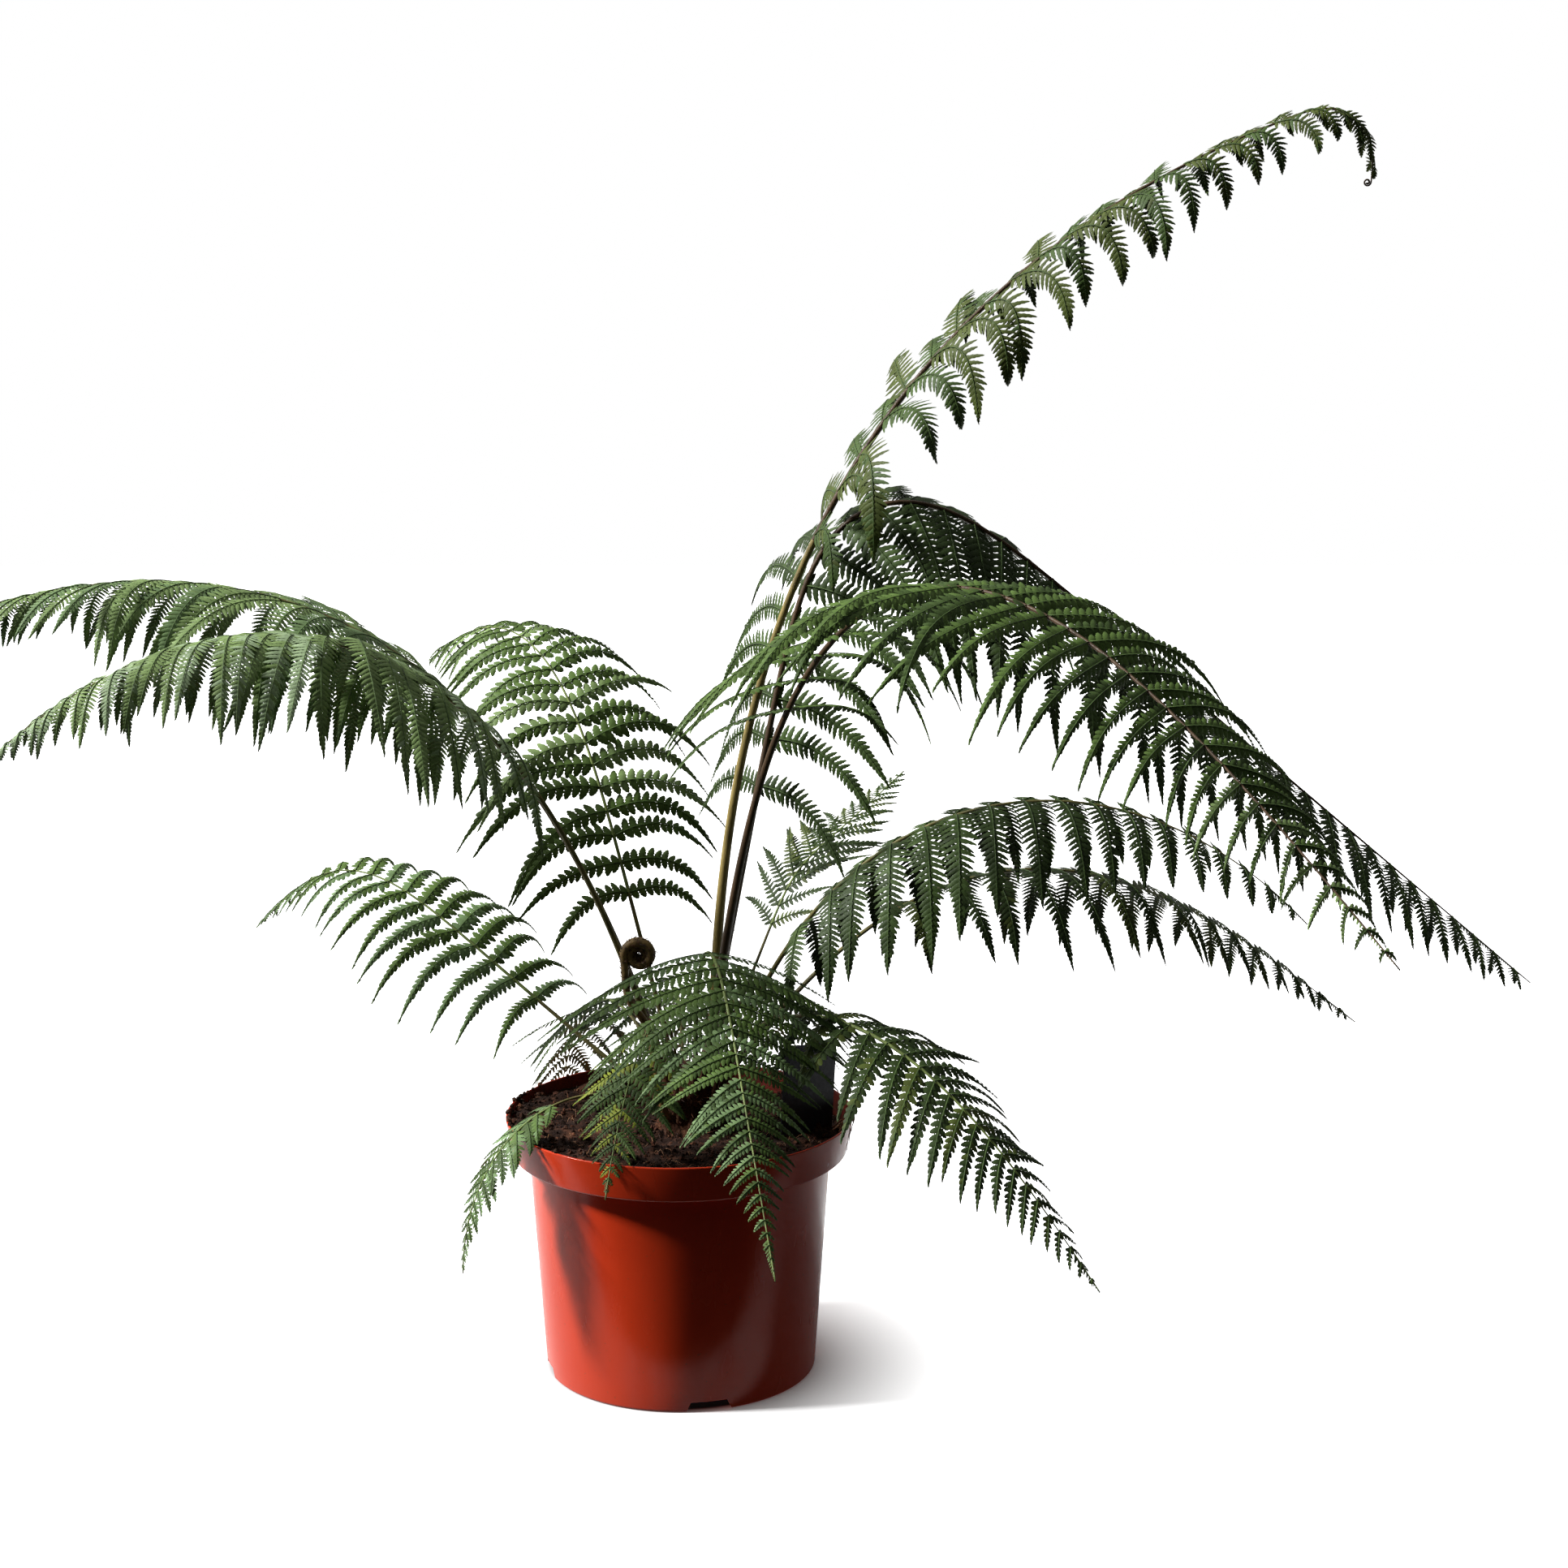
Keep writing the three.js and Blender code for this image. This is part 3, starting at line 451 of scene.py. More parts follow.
def smooth_route(spots, steps):
    """Points of a smooth curve through spots."""
    spots = np.asarray(spots, dtype=float)
    ends = np.vstack([2 * spots[0] - spots[1], spots, 2 * spots[-1] - spots[-2]])
    route = []
    for at in range(len(spots) - 1):
        a, b, c, d = ends[at:at + 4]
        for share in np.arange(steps) / steps:
            route.append(0.5 * (
                2 * b + (c - a) * share + (2 * a - 5 * b + 4 * c - d) * share ** 2
                + (3 * b - a - 3 * c + d) * share ** 3
            ))
    route.append(spots[-1])
    return np.array(route)


# Materials


def screen(colour, gain=1.0):
    """Linear colour of a screen colour."""
    shares = [value / 255 for value in colour]
    linear = [s / 12.92 if s <= 0.04045 else ((s + 0.055) / 1.055) ** 2.4 for s in shares]
    return tuple(min(value * gain, 1) for value in linear) + (1.0,)


def grey(level):
    return (level, level, level, 1)


class Graph:
    """A tree of shader nodes."""

    def __init__(self, tree):
        self.tree = tree
        self.tree.nodes.clear()

    def node(self, kind, inputs=None):
        node = self.tree.nodes.new(kind)
        for name, value in (inputs or {}).items():
            node.inputs[name].default_value = value
        return node

    def link(self, source, target):
        self.tree.links.new(source, target)

    def feed(self, source, socket):
        """Give a socket a plain value or the output of another node."""
        if isinstance(source, (int, float, tuple)):
            socket.default_value = source
        else:
            self.link(source, socket)

    def span(self, value, low, high, start=0.3, end=0.7, smooth=False):
        """A value that goes from low to high while another goes from start to end."""
        spread = self.node("ShaderNodeMapRange", {
            "From Min": start, "From Max": end, "To Min": low, "To Max": high,
        })
        if smooth:
            spread.interpolation_type = "SMOOTHSTEP"
        self.link(value, spread.inputs["Value"])
        return spread.outputs["Result"]

    def reckon(self, operation, *values):
        node = self.node("ShaderNodeMath")
        node.operation = operation
        for socket, value in zip(node.inputs, values):
            self.feed(value, socket)
        return node.outputs["Value"]


class Finish(Graph):
    """A material under construction: one shader and the patterns that feed it."""

    def __init__(self, name, roughness=0.5, specular=0.5):
        self.material = bpy.data.materials.new(name)
        self.material.use_nodes = True
        super().__init__(self.material.node_tree)
        output = self.node("ShaderNodeOutputMaterial")
        self.shader = self.node("ShaderNodeBsdfPrincipled", {
            "Roughness": roughness, "Specular IOR Level": specular,
        })
        self.link(self.shader.outputs["BSDF"], output.inputs["Surface"])

    def noise(self, scale, detail=3, stretch=(1, 1, 1)):
        place = self.node("ShaderNodeTexCoord")
        mapping = self.node("ShaderNodeMapping", {"Scale": stretch})
        texture = self.node("ShaderNodeTexNoise", {"Scale": scale, "Detail": detail})
        self.link(place.outputs["Object"], mapping.inputs["Vector"])
        self.link(mapping.outputs["Vector"], texture.inputs["Vector"])
        return texture.outputs[0]

    def ramp(self, value, *stops):
        ramp = self.node("ShaderNodeValToRGB")
        elements = ramp.color_ramp.elements
        while len(elements) < len(stops):
            elements.new(0.5)
        for element, (position, colour) in zip(elements, stops):
            element.position = position
            element.color = colour
        self.link(value, ramp.inputs["Fac"])
        return ramp.outputs["Color"]

    def mix(self, value, first, second):
        mixer = self.node("ShaderNodeMix")
        mixer.data_type = "RGBA"
        self.link(value, mixer.inputs["Factor"])
        self.feed(first, mixer.inputs[6])
        self.feed(second, mixer.inputs[7])
        return mixer.outputs[2]

    def colour(self, source):
        self.feed(source, self.shader.inputs["Base Color"])

    def roughness(self, source):
        self.link(source, self.shader.inputs["Roughness"])

    def bump(self, value, distance, strength=1.0):
        bump = self.node("ShaderNodeBump", {"Strength": strength, "Distance": distance})
        self.link(value, bump.inputs["Height"])
        self.link(bump.outputs["Normal"], self.shader.inputs["Normal"])


def mottled(name, colour, dark=0.7, light=1.25, scale=90, fine=900, rough=(0.42, 0.58), bump=0.0002,
            stretch=(1, 1, 1), specular=0.4):
    """Plain tint that varies a little, with a fine relief."""
    finish = Finish(name, specular=specular)
    patches = finish.noise(scale, 3, stretch)
    finish.colour(finish.ramp(
        patches, (0.3, screen(colour, dark)), (0.5, screen(colour)), (0.72, screen(colour, light)),
    ))
    grain = finish.noise(fine, 2, stretch)
    finish.roughness(finish.span(grain, *rough))
    finish.bump(grain, bump)
    return finish.material


def tones(scale, fine, **colours):
    """Plain finishes that share one grain."""
    return [mottled(name, colour, scale=scale, fine=fine) for name, colour in colours.items()]


LEAF_FINISH = {
    tint: mottled(
        f"leaf_{tint}", colour, dark=0.72, light=1.3, scale=70, fine=1400, rough=(0.5, 0.7),
        bump=0.00015, specular=0.28,
    )
    for tint, colour in LEAF_TINTS.items()
}
STALK_FINISH = {
    tint: mottled(
        f"stalk_{tint}", colour, dark=0.55, light=1.4, scale=160, fine=1600, rough=(0.4, 0.65),
        stretch=(1, 1, 0.25),
    )
    for tint, colour in STALK_TINTS.items()
}


def pot_finish():
    """Glossy orange red, a little cloudy, with specks of compost and smears."""
    finish = Finish("pot_gloss", specular=0.24)
    cloud = finish.noise(scale=9)
    reds = screen((206, 58, 26)), screen((216, 64, 30)), screen((224, 72, 36))
    base = finish.ramp(cloud, *zip((0.3, 0.55, 0.75), reds))
    specks = finish.noise(scale=420, detail=2)
    dust = finish.ramp(specks, (0.0, BLACK), (0.68, BLACK), (0.74, WHITE))
    dusty = finish.span(dust, low=0, high=0.25, start=0, end=1)
    finish.colour(finish.mix(dusty, base, screen((120, 70, 45))))
    blotches = finish.noise(scale=60, detail=4, stretch=(1, 1, 0.35))
    finish.roughness(finish.span(blotches, low=0.16, high=0.3))
    ripple = finish.noise(scale=35, detail=2, stretch=(1, 1, 0.15))
    finish.bump(ripple, distance=0.0006, strength=0.35)
    return finish.material


def inner_shade_finish():
    """Inner wall of the pot, painted darker in blotchy browns: painted shade inside the pot."""
    finish = Finish("pot_inner_painted_shade", specular=0.2)
    blotches = finish.noise(scale=55, detail=4, stretch=(1, 1, 0.6))
    browns = screen((58, 30, 22)), screen((104, 34, 20)), screen((128, 40, 22))
    finish.colour(finish.ramp(blotches, *zip((0.35, 0.52, 0.7), browns)))
    finish.roughness(finish.span(blotches, low=0.45, high=0.8))
    finish.bump(finish.noise(scale=500), distance=0.0003)
    return finish.material


def soil_finish(name, colour, light):
    finish = Finish(name, specular=0.2)
    patches = finish.noise(scale=140, detail=5)
    finish.colour(finish.ramp(
        patches, (0.25, screen(colour, 0.35)), (0.5, screen(colour)), (0.7, screen(light)),
    ))
    finish.roughness(finish.span(patches, low=0.85, high=1))
    finish.bump(finish.noise(scale=900, detail=4), distance=0.0009)
    return finish.material


# Camera, lights, floor


def flat_piece(name, near, half, level, finish):
    """Level square sheet, which in front reaches only to near."""
    spots = [(-half, near, level), (half, near, level), (half, half, level), (-half, half, level)]
    return make_piece(name, spots, [(0, 1, 2), (0, 2, 3)], [finish.material], smooth=False)


def pale_floor():
    finish = Finish("floor_pale", roughness=0.9, specular=0.1)
    finish.shader.inputs["Emission Color"].default_value = WHITE
    place = finish.node("ShaderNodeTexCoord")
    away = finish.node("ShaderNodeVectorMath")
    away.operation = "LENGTH"
    finish.link(place.outputs["Object"], away.inputs[0])
    sheet = finish.ramp(finish.noise(scale=3, detail=2), (0.3, grey(0.9)), (0.7, grey(0.93)))
    # Painted shade: near black under the pot; a painted glow further out lightens the shadows cast on
    # the floor
    outside = finish.span(away.outputs["Value"], 0, 1, *FLOOR.dark_to)
    finish.colour(finish.mix(outside, grey(0.01), sheet))
    glow = finish.span(away.outputs["Value"], 0, FLOOR.glow, *FLOOR.glow_over)
    finish.link(glow, finish.shader.inputs["Emission Strength"])
    floor = flat_piece("floor", -FLOOR.half, FLOOR.half, FLOOR.level, finish)
    floor.visible_glossy = False
    floor.visible_diffuse = False


def reflected_sheet():
    """The white sheet under the pot, as the pot's gloss shows it: it ends just in front."""
    finish = Finish("sheet_white", roughness=0.9, specular=0.1)
    finish.colour(grey(SHEET.white))
    sheet = flat_piece("sheet", SHEET.near, SHEET.half, SHEET.level, finish)
    sheet.visible_camera = False
    sheet.visible_diffuse = False
    sheet.visible_shadow = False


def window_light():
    """Daylight that falls in from one side, a little soft."""
    data = bpy.data.lights.new("window", "SUN")
    data.energy = WINDOW.strength
    data.angle = radians(WINDOW.spread)
    lamp = add_object("window", data)
    turn, rise = radians(WINDOW.azimuth), radians(WINDOW.height)
    toward = Vector((cos(turn) * cos(rise), sin(turn) * cos(rise), sin(rise)))
    lamp.rotation_euler = (-toward).to_track_quat("-Z", "Y").to_euler()


def room_light():
    """Soft light that comes from the left, the back and above, with a darker room in front."""
    world = bpy.data.worlds.new("room")
    bpy.context.scene.world = world
    world.use_nodes = True
    graph = Graph(world.node_tree)
    output = graph.node("ShaderNodeOutputWorld")
    seen = graph.node("ShaderNodeBackground", {"Color": WHITE})
    glow = graph.node("ShaderNodeBackground", {"Strength": ROOM.strength})
    choose = graph.node("ShaderNodeMixShader")
    path = graph.node("ShaderNodeLightPath")
    graph.link(path.outputs["Is Camera Ray"], choose.inputs["Fac"])
    graph.link(glow.outputs["Background"], choose.inputs[1])
    graph.link(seen.outputs["Background"], choose.inputs[2])
    graph.link(choose.outputs["Shader"], output.inputs["Surface"])
    place = graph.node("ShaderNodeTexCoord")
    split = graph.node("ShaderNodeSeparateXYZ")
    graph.link(place.outputs["Generated"], split.inputs["Vector"])
    behind = graph.span(split.outputs["Y"], 0, 1, *ROOM.behind, smooth=True)
    leftness = graph.span(split.outputs["X"], 0, 1, *ROOM.left, smooth=True)
    above = graph.span(split.outputs["Z"], 0, 1, *ROOM.above, smooth=True)
    side = graph.reckon("MULTIPLY_ADD", leftness, ROOM.from_left, ROOM.from_right)
    lit = graph.reckon("MULTIPLY", behind, side)
    lit = graph.reckon("MAXIMUM", lit, graph.reckon("MULTIPLY", above, ROOM.overhead))
    graph.link(graph.reckon("MAXIMUM", lit, ROOM.least), glow.inputs["Color"])


def photo_camera():
    data = bpy.data.cameras.new("camera")
    data.lens = CAMERA.lens
    data.sensor_width = CAMERA.sensor
    camera = add_object("camera", data)
    camera.location = [value * MM for value in CAMERA.place]
    camera.rotation_euler = (radians(90 - CAMERA.pitch), 0, 0)
    bpy.context.scene.camera = camera
    bpy.context.scene.view_settings.view_transform = "Standard"


# Pot


def wall_slope():
    return (POT.body_top_radius - POT.base_radius) / POT.collar_foot


def pot_profile():
    """Radius and height of the pot's outline, with its corners rounded."""
    p, slope = POT, wall_slope()
    inner = p.base_radius - p.wall
    ledge = p.collar_foot + p.wall
    corners = [
        (0, 0, 0),
        (p.pad_radius, 0, 0.5),
        (p.pad_radius + p.draft, p.under_floor, 1),
        (p.ring_inner_radius, p.under_floor, 1),
        (p.ring_inner_radius + p.draft, 0, 0.6),
        (p.base_radius, 0, 1.8),
        (p.body_top_radius, p.collar_foot, 1),
        (p.collar_foot_radius, p.collar_foot, 1.4),
        (p.rim_radius, p.height, 1),
        (p.rim_radius - p.wall, p.height, 0.9),
        (p.collar_foot_radius - p.wall, ledge, 1.5),
        (inner + slope * p.collar_foot, ledge, 1.5),
        (inner + slope * p.floor_top, p.floor_top, 2),
        (0, p.floor_top, 0),
    ]
    outline = []
    for at, (radius, z, fillet) in enumerate(corners):
        spot = np.array([radius, z], dtype=float)
        if not fillet:
            outline.append(spot)
            continue
        back = unit(np.array(corners[at - 1][:2]) - spot)
        ahead = unit(np.array(corners[at + 1][:2]) - spot)
        for share in np.linspace(0, 1, p.fillet_steps):
            start = spot + back * fillet * (1 - share)
            end = spot + ahead * fillet * share
            outline.append(start * (1 - share) + end * share)
    return split_long(np.array(outline), p.longest_edge)


def split_long(outline, longest):
    """The same outline with more points where they lie far apart."""
    dense = [outline[0]]
    for start, end in zip(outline[:-1], outline[1:]):
        parts = max(1, int(np.ceil(np.linalg.norm(end - start) / longest)))
        dense.extend(start + (end - start) * part / parts for part in range(1, parts + 1))
    return np.array(dense)


def lathe(outline, sides):
    """Closed mesh turned from an outline that starts and ends on the axis."""
    rings = [ring(radius, z, sides) for radius, z in outline[1:-1]]
    points = np.vstack(rings + [[(0, 0, outline[0][1])], [(0, 0, outline[-1][1])]])
    bottom, top = len(points) - 2, len(points) - 1
    last = (len(rings) - 1) * sides
    fans = []
    for side in range(sides):
        following = (side + 1) % sides
        fans.append((bottom, following, side))
        fans.append((top, last + side, last + following))
    return points, np.vstack([ring_faces(len(rings), sides), fans])


def turned(azimuth):
    """Matrix of a turn about the vertical."""
    angle = radians(azimuth)
    return np.array([
        [cos(angle), -sin(angle), 0], [sin(angle), cos(angle), 0], [0, 0, 1],
    ])


def notch_cutter(azimuth):
    half_foot, half_top = NOTCH.foot_width / 2, NOTCH.top_width / 2
    foot, top = -NOTCH.below, NOTCH.height
    section = [(-half_foot, foot), (half_foot, foot), (half_top, top), (-half_top, top)]
    ends = POT.ring_inner_radius + NOTCH.inset, POT.base_radius + NOTCH.beyond
    points = np.array([(radius, y, z) for radius in ends for y, z in section])
    return points @ turned(azimuth).T, closed_faces(2, 4)


def build_pot():
    points, faces = lathe(pot_profile(), POT.sides)
    pot = make_piece("pot_shell", points, faces, [pot_finish()])
    cutters = Bundle()
    for notch in range(NOTCH.count):
        cutters.add(*notch_cutter(NOTCH.first_azimuth + 360 / NOTCH.count * notch))
    cutter = cutters.piece("notch_cutters", [])
    cut = pot.modifiers.new("notches", "BOOLEAN")
    cut.operation = "DIFFERENCE"
    cut.solver = "EXACT"
    cut.object = cutter
    apply_modifiers(pot)
    bpy.data.objects.remove(cutter)
    pot.data.set_sharp_from_angle(angle=radians(POT.sharp))
    pot.data.materials.append(inner_shade_finish())
    # The inner wall above the pot's floor takes the painted shade
    for face in pot.data.polygons:
        inward = face.center.x * face.normal.x + face.center.y * face.normal.y < 0
        if inward and face.center.z > POT.floor_top * MM:
            face.material_index = 1
    hand_over(pot, "pot_plastic", "pot")


def apply_modifiers(piece):
    graph = bpy.context.evaluated_depsgraph_get()
    finished = bpy.data.meshes.new_from_object(piece.evaluated_get(graph))
    piece.modifiers.clear()
    piece.data = finished


# Compost


def soil_level(x, y):
    side = np.clip(-x / POT.rim_radius, -1, 1)
    slope = np.where(side > 0, SOIL.left_rise * side, SOIL.right_drop * side)
    front = SOIL.front_rise * np.clip(-y / POT.rim_radius, -1, 1)
    lumps = np.sin(x * LUMPS.x + LUMPS.shift) * np.cos(y * LUMPS.y)
    lumps = lumps + LUMPS.fine * np.sin(x * LUMPS.fine_x - y * LUMPS.fine_y)
    return SOIL.level + slope + front + LUMPS.height * lumps


def relief(grain, x, y, z):
    """Height of one grain of roughness at a place of its pattern."""
    spot = (x * grain.scale, y * grain.scale, z)
    return grain.height * noise.fractal(spot, grain.rough, grain.gap, grain.octaves)


def rough_level(x, y):
    """Level of the compost with its crumbly relief."""
    level = float(soil_level(np.float64(x), np.float64(y)))
    for grain in RELIEF:
        level += relief(grain, x, y, grain.start)
    return level


def build_soil():
    inside, slope = POT.wall + SOIL.gap, wall_slope()
    floor, ledge = POT.floor_top + SOIL.gap, POT.collar_foot + inside
    collar, sides = POT.collar_foot_radius - inside, SOIL.sides
    rows = [
        ring(POT.base_radius + slope * floor - inside, floor, sides),
        ring(POT.body_top_radius - inside, ledge - SOIL.ledge_drop, sides),
        ring(collar - SOIL.collar_gap, ledge, sides),
    ]
    for radius in (collar + SOIL.collar_flare) * np.linspace(1, SOIL.middle, SOIL.rings):
        row = ring(radius, 0, sides)
        row[:, 2] = [rough_level(x, y) for x, y in row[:, :2]]
        rows.append(row)
    finish = soil_finish("compost", (50, 32, 24), (92, 60, 44))
    soil = make_piece("compost", np.vstack(rows), closed_faces(len(rows), sides), [finish])
    hand_over(soil, "compost", "soil")


def icosahedron():
    golden = (1 + 5 ** 0.5) / 2
    points = unit(np.array([
        (-1, golden, 0), (1, golden, 0), (-1, -golden, 0), (1, -golden, 0),
        (0, -1, golden), (0, 1, golden), (0, -1, -golden), (0, 1, -golden),
        (golden, 0, -1), (golden, 0, 1), (-golden, 0, -1), (-golden, 0, 1),
    ]))
    faces = np.array([
        (0, 11, 5), (0, 5, 1), (0, 1, 7), (0, 7, 10), (0, 10, 11), (1, 5, 9), (5, 11, 4),
        (11, 10, 2), (10, 7, 6), (7, 1, 8), (3, 9, 4), (3, 4, 2), (3, 2, 6), (3, 6, 8),
        (3, 8, 9), (4, 9, 5), (2, 4, 11), (6, 2, 10), (8, 6, 7), (9, 8, 1),
    ])
    return points, faces


def scatter_spot(spread):
    """A random place on the compost, as thick at the rim as in the middle."""
    angle = rng.uniform(0, 2 * pi)
    radius = (POT.collar_foot_radius - POT.wall) * sqrt(rng.uniform(0.02, 1)) * spread
    return radius * cos(angle), radius * sin(angle)


def build_crumbs():
    form, faces = icosahedron()
    crumbs = Bundle()
    for _ in range(CRUMBS.count):
        x, y = scatter_spot(1)
        size = rng.uniform(*CRUMBS.size) + CRUMBS.lump * rng.uniform() ** CRUMBS.rarity
        corners = rng.uniform(*CRUMBS.corner, (len(form), 1))
        lump = form * corners * size * rng.uniform(*CRUMBS.side, 3)
        level = rough_level(x, y) + CRUMBS.lift * size
        crumbs.add(lump + (x, y, level), faces, rng.integers(0, 3))
    for _ in range(CRUMBS.rim_count):
        angle = radians(rng.normal(*CRUMBS.heap))
        radius = rng.uniform(*(POT.rim_radius - inward for inward in CRUMBS.heap_width))
        x, y = radius * cos(angle), radius * sin(angle)
        size = rng.uniform(*CRUMBS.rim_size)
        lump = form * rng.uniform(*CRUMBS.corner, (len(form), 1)) * size
        rim = POT.height if radius > POT.rim_radius - CRUMBS.on_rim else 0
        level = max(rim, rough_level(x, y)) + CRUMBS.rim_lift * size
        crumbs.add(lump + (x, y, level), faces, rng.integers(0, 3))
    finishes = [
        soil_finish("crumb_dark", (44, 28, 21), (70, 46, 34)),
        soil_finish("crumb_red", (84, 50, 36), (120, 78, 56)),
        soil_finish("crumb_brown", (58, 38, 28), (88, 60, 46)),
    ]
    hand_over(crumbs.piece("crumbs", finishes, smooth=False), "compost")


def lying_fibre():
    """Route of a fibre that wanders over the compost and ends where it meets the wall."""
    x, y = scatter_spot(FIBRES.spread)
    heading = rng.uniform(0, 2 * pi)
    length, steps = rng.uniform(*FIBRES.length), FIBRES.steps
    spots = []
    for share in np.linspace(0, 1, steps):
        heading += rng.normal(0, FIBRES.wander)
        x += cos(heading) * length / steps
        y += sin(heading) * length / steps
        if hypot(x, y) > POT.collar_foot_radius - POT.wall:
            break
        lift = FIBRES.rest + rng.uniform(*FIBRES.lift) * sin(pi * share)
        spots.append((x, y, rough_level(x, y) + lift))
    return spots


def build_fibres():
    """Thin roots and fibres that lie on the compost and hang over the rim."""
    fibres = Bundle()
    for _ in range(FIBRES.count):
        spots = lying_fibre()
        if len(spots) >= FIBRES.fewest:
            radii = np.linspace(*FIBRES.radii, len(spots))
            fibres.add(*tube(spots, radii, FIBRES.sides), rng.integers(0, 2))
    for root in hanging_roots():
        route = smooth_route(root, ROOTS.steps)
        fibres.add(*tube(route, np.linspace(*ROOTS.radii, len(route)), ROOTS.sides))
    finishes = tones(300, 2000, root_tan=(168, 122, 88), root_dark=(72, 46, 34))
    hand_over(fibres.piece("fibres", finishes), "compost")


def over_rim(azimuth, start, drop, drift):
    """Route of a root from the compost over the rim and down outside it."""
    angle = radians(azimuth)
    rim, top = POT.rim_radius, POT.height
    aside = np.array([-sin(angle), cos(angle), 0]) * drift
    out = level_direction(angle)
    lower = rim + 0.7 - 0.17 * drop
    return [
        out * (rim - start) + (0, 0, SOIL.level + 3),
        out * (rim - 3) + (0, 0, top + 1.2) + aside * 0.2,
        out * (rim + 0.9) + (0, 0, top - 0.5) + aside * 0.4,
        out * (lower + 0.4) + (0, 0, top - drop * 0.6) + aside * 0.7,
        out * lower + (0, 0, top - drop) + aside,
    ]


def hanging_roots():
    roots = [over_rim(*values) for values in ROOTS.front]
    for _ in range(ROOTS.count):
        azimuth, start = rng.uniform(*ROOTS.azimuth), rng.uniform(*ROOTS.start)
        roots.append(over_rim(azimuth, start, rng.uniform(*ROOTS.drop), rng.uniform(*ROOTS.drift)))
    return roots


# Crown


def crown_radius(z, steps):
    radii, heights = zip(*steps)
    return np.interp(z, heights, radii)


def crown_relief(out, z):
    """Share by which the crown's fibres stand out at a place on it."""
    share = CROWN.core
    for grain in CROWN_FIBRES:
        share += relief(grain, out[0], out[1], z * grain.rise + grain.start)
    return share


def build_crown():
    sides, rings = CROWN.sides, CROWN.rings
    foot = np.array([CROWN.x, CROWN.y, CROWN.foot - CROWN.sunk])
    points = []
    for share in np.linspace(0, 1, rings):
        z = share * CROWN.height
        radius = crown_radius(z, CROWN.steps)
        for angle in 2 * pi * np.arange(sides) / sides:
            out = level_direction(angle)
            points.append(foot + radius * crown_relief(out, z) * out + (0, 0, z))
    bark = mottled(
        "crown_fibre", (74, 46, 30), dark=0.35, light=1.8, scale=260, fine=1500, rough=(0.8, 1.0),
        bump=0.0008, stretch=(1, 1, 0.3), specular=0.2,
    )
    crown = make_piece("crown_fibres", points, closed_faces(rings, sides), [bark])
    hand_over(crown, "crown_fibre", "crown")


# Fronds


def bend_share(along, at, soft):
    """Share of a frond's bend that is done at a share of its length."""
    def logistic(value):
        return 1 / (1 + np.exp(-value / soft))

    low = logistic(-at)
    return (logistic(along - at) - low) / (logistic(1 - at) - low)


def stem_direction(frond):
    return level_direction(radians(frond.azimuth + frond.turn))


def midrib(frond):
    """Points along the midrib, from the foot to the tip."""
    along = (np.arange(CURVE_STEPS) + 0.5) / CURVE_STEPS
    tip = np.clip((along - CURL_FROM) / (1 - CURL_FROM), 0, 1)
    bend = (frond.fall - frond.rise) * bend_share(along, frond.at, frond.soft)
    elevation = np.radians(frond.rise + bend - frond.tip_curl * tip * tip * (3 - 2 * tip))
    azimuth = np.radians(frond.azimuth + frond.sweep * along)
    headings = np.stack([
        np.cos(elevation) * np.cos(azimuth), np.cos(elevation) * np.sin(azimuth), np.sin(elevation),
    ], axis=1)
    foot = frond.out * stem_direction(frond) + (CROWN.x, CROWN.y, SOIL.level + frond.level)
    travelled = np.cumsum(headings * frond.length / CURVE_STEPS, axis=0)
    return np.vstack([foot, foot + travelled])


def reach_share(share, frond):
    """Share of the longest side branch at a share of the leafy stretch."""
    wide = frond.wide
    rising = BASE_REACH + (1 - BASE_REACH) * min(share / wide, 1)
    return rising * (1 - max(0, (share - wide) / (1 - wide))) ** frond.taper


def rotate_toward(first, second, angle):
    """first turned towards second, where both are unit vectors at right angles."""
    return cos(angle) * first + sin(angle) * second


def between(points, place):
    """Spot on a line of points, at a place that is counted in its steps."""
    step = min(int(place), len(points) - 2)
    return points[step] + (points[step + 1] - points[step]) * (place - step)


def right_of(azimuth, tangent):
    """Level direction to the right of an azimuth, squared to a tangent."""
    angle = radians(azimuth)
    flat = np.array([sin(angle), -cos(angle), 0])
    return unit(flat - flat.dot(tangent) * tangent)


def branch_foot(frond, points, share):
    """Where a side branch leaves the rib, with the rib's heading, right side and upper side there."""
    along = frond.bare + (1 - frond.bare) * share
    place = along * CURVE_STEPS
    step = min(int(place), CURVE_STEPS - 2)
    tangent = unit(points[step + 2] - points[max(step - 1, 0)])
    flat = right_of(frond.azimuth + frond.sweep * along, tangent)
    upper = np.cross(flat, tangent)
    spot = between(points, place) + upper * STALK.lift * stalk_radius(frond, along)
    return spot, tangent, flat, upper


def drooping(outward, tangent, frond, side):
    """Headings along a side branch that droops and strays a little."""
    wild = frond.wild
    droop = frond.droop * (1 + side * frond.uneven) * (1 + wild * rng.normal(0, STRAY.droop))
    sag = droop * (1 + frond.late) * MIDDLES ** frond.late
    bow = radians(wild * rng.normal(0, STRAY.bow)) * MIDDLES
    return unit(outward + DOWN * sag[:, None] + tangent * bow[:, None])


def hooked(headings, breadth, frond, side):
    """The same branch with its end hooked and its blade tilted: headings, breadth and normals."""
    normals = np.cross(headings, breadth) * side
    ease = np.clip((MIDDLES - HOOK.start) / HOOK.over, 0, 1) ** 2
    hook = np.radians(frond.hook * rng.uniform(HOOK.least, HOOK.most)) * ease[:, None]
    headings = np.cos(hook) * headings - np.sin(hook) * normals
    normals = np.cross(headings, breadth) * side
    twist = np.radians(frond.tilt + frond.wild * rng.normal(0, STRAY.twist) * MIDDLES[:, None])
    breadth = np.cos(twist) * breadth + np.sin(twist) * normals
    return headings, breadth, np.cross(headings, breadth) * side


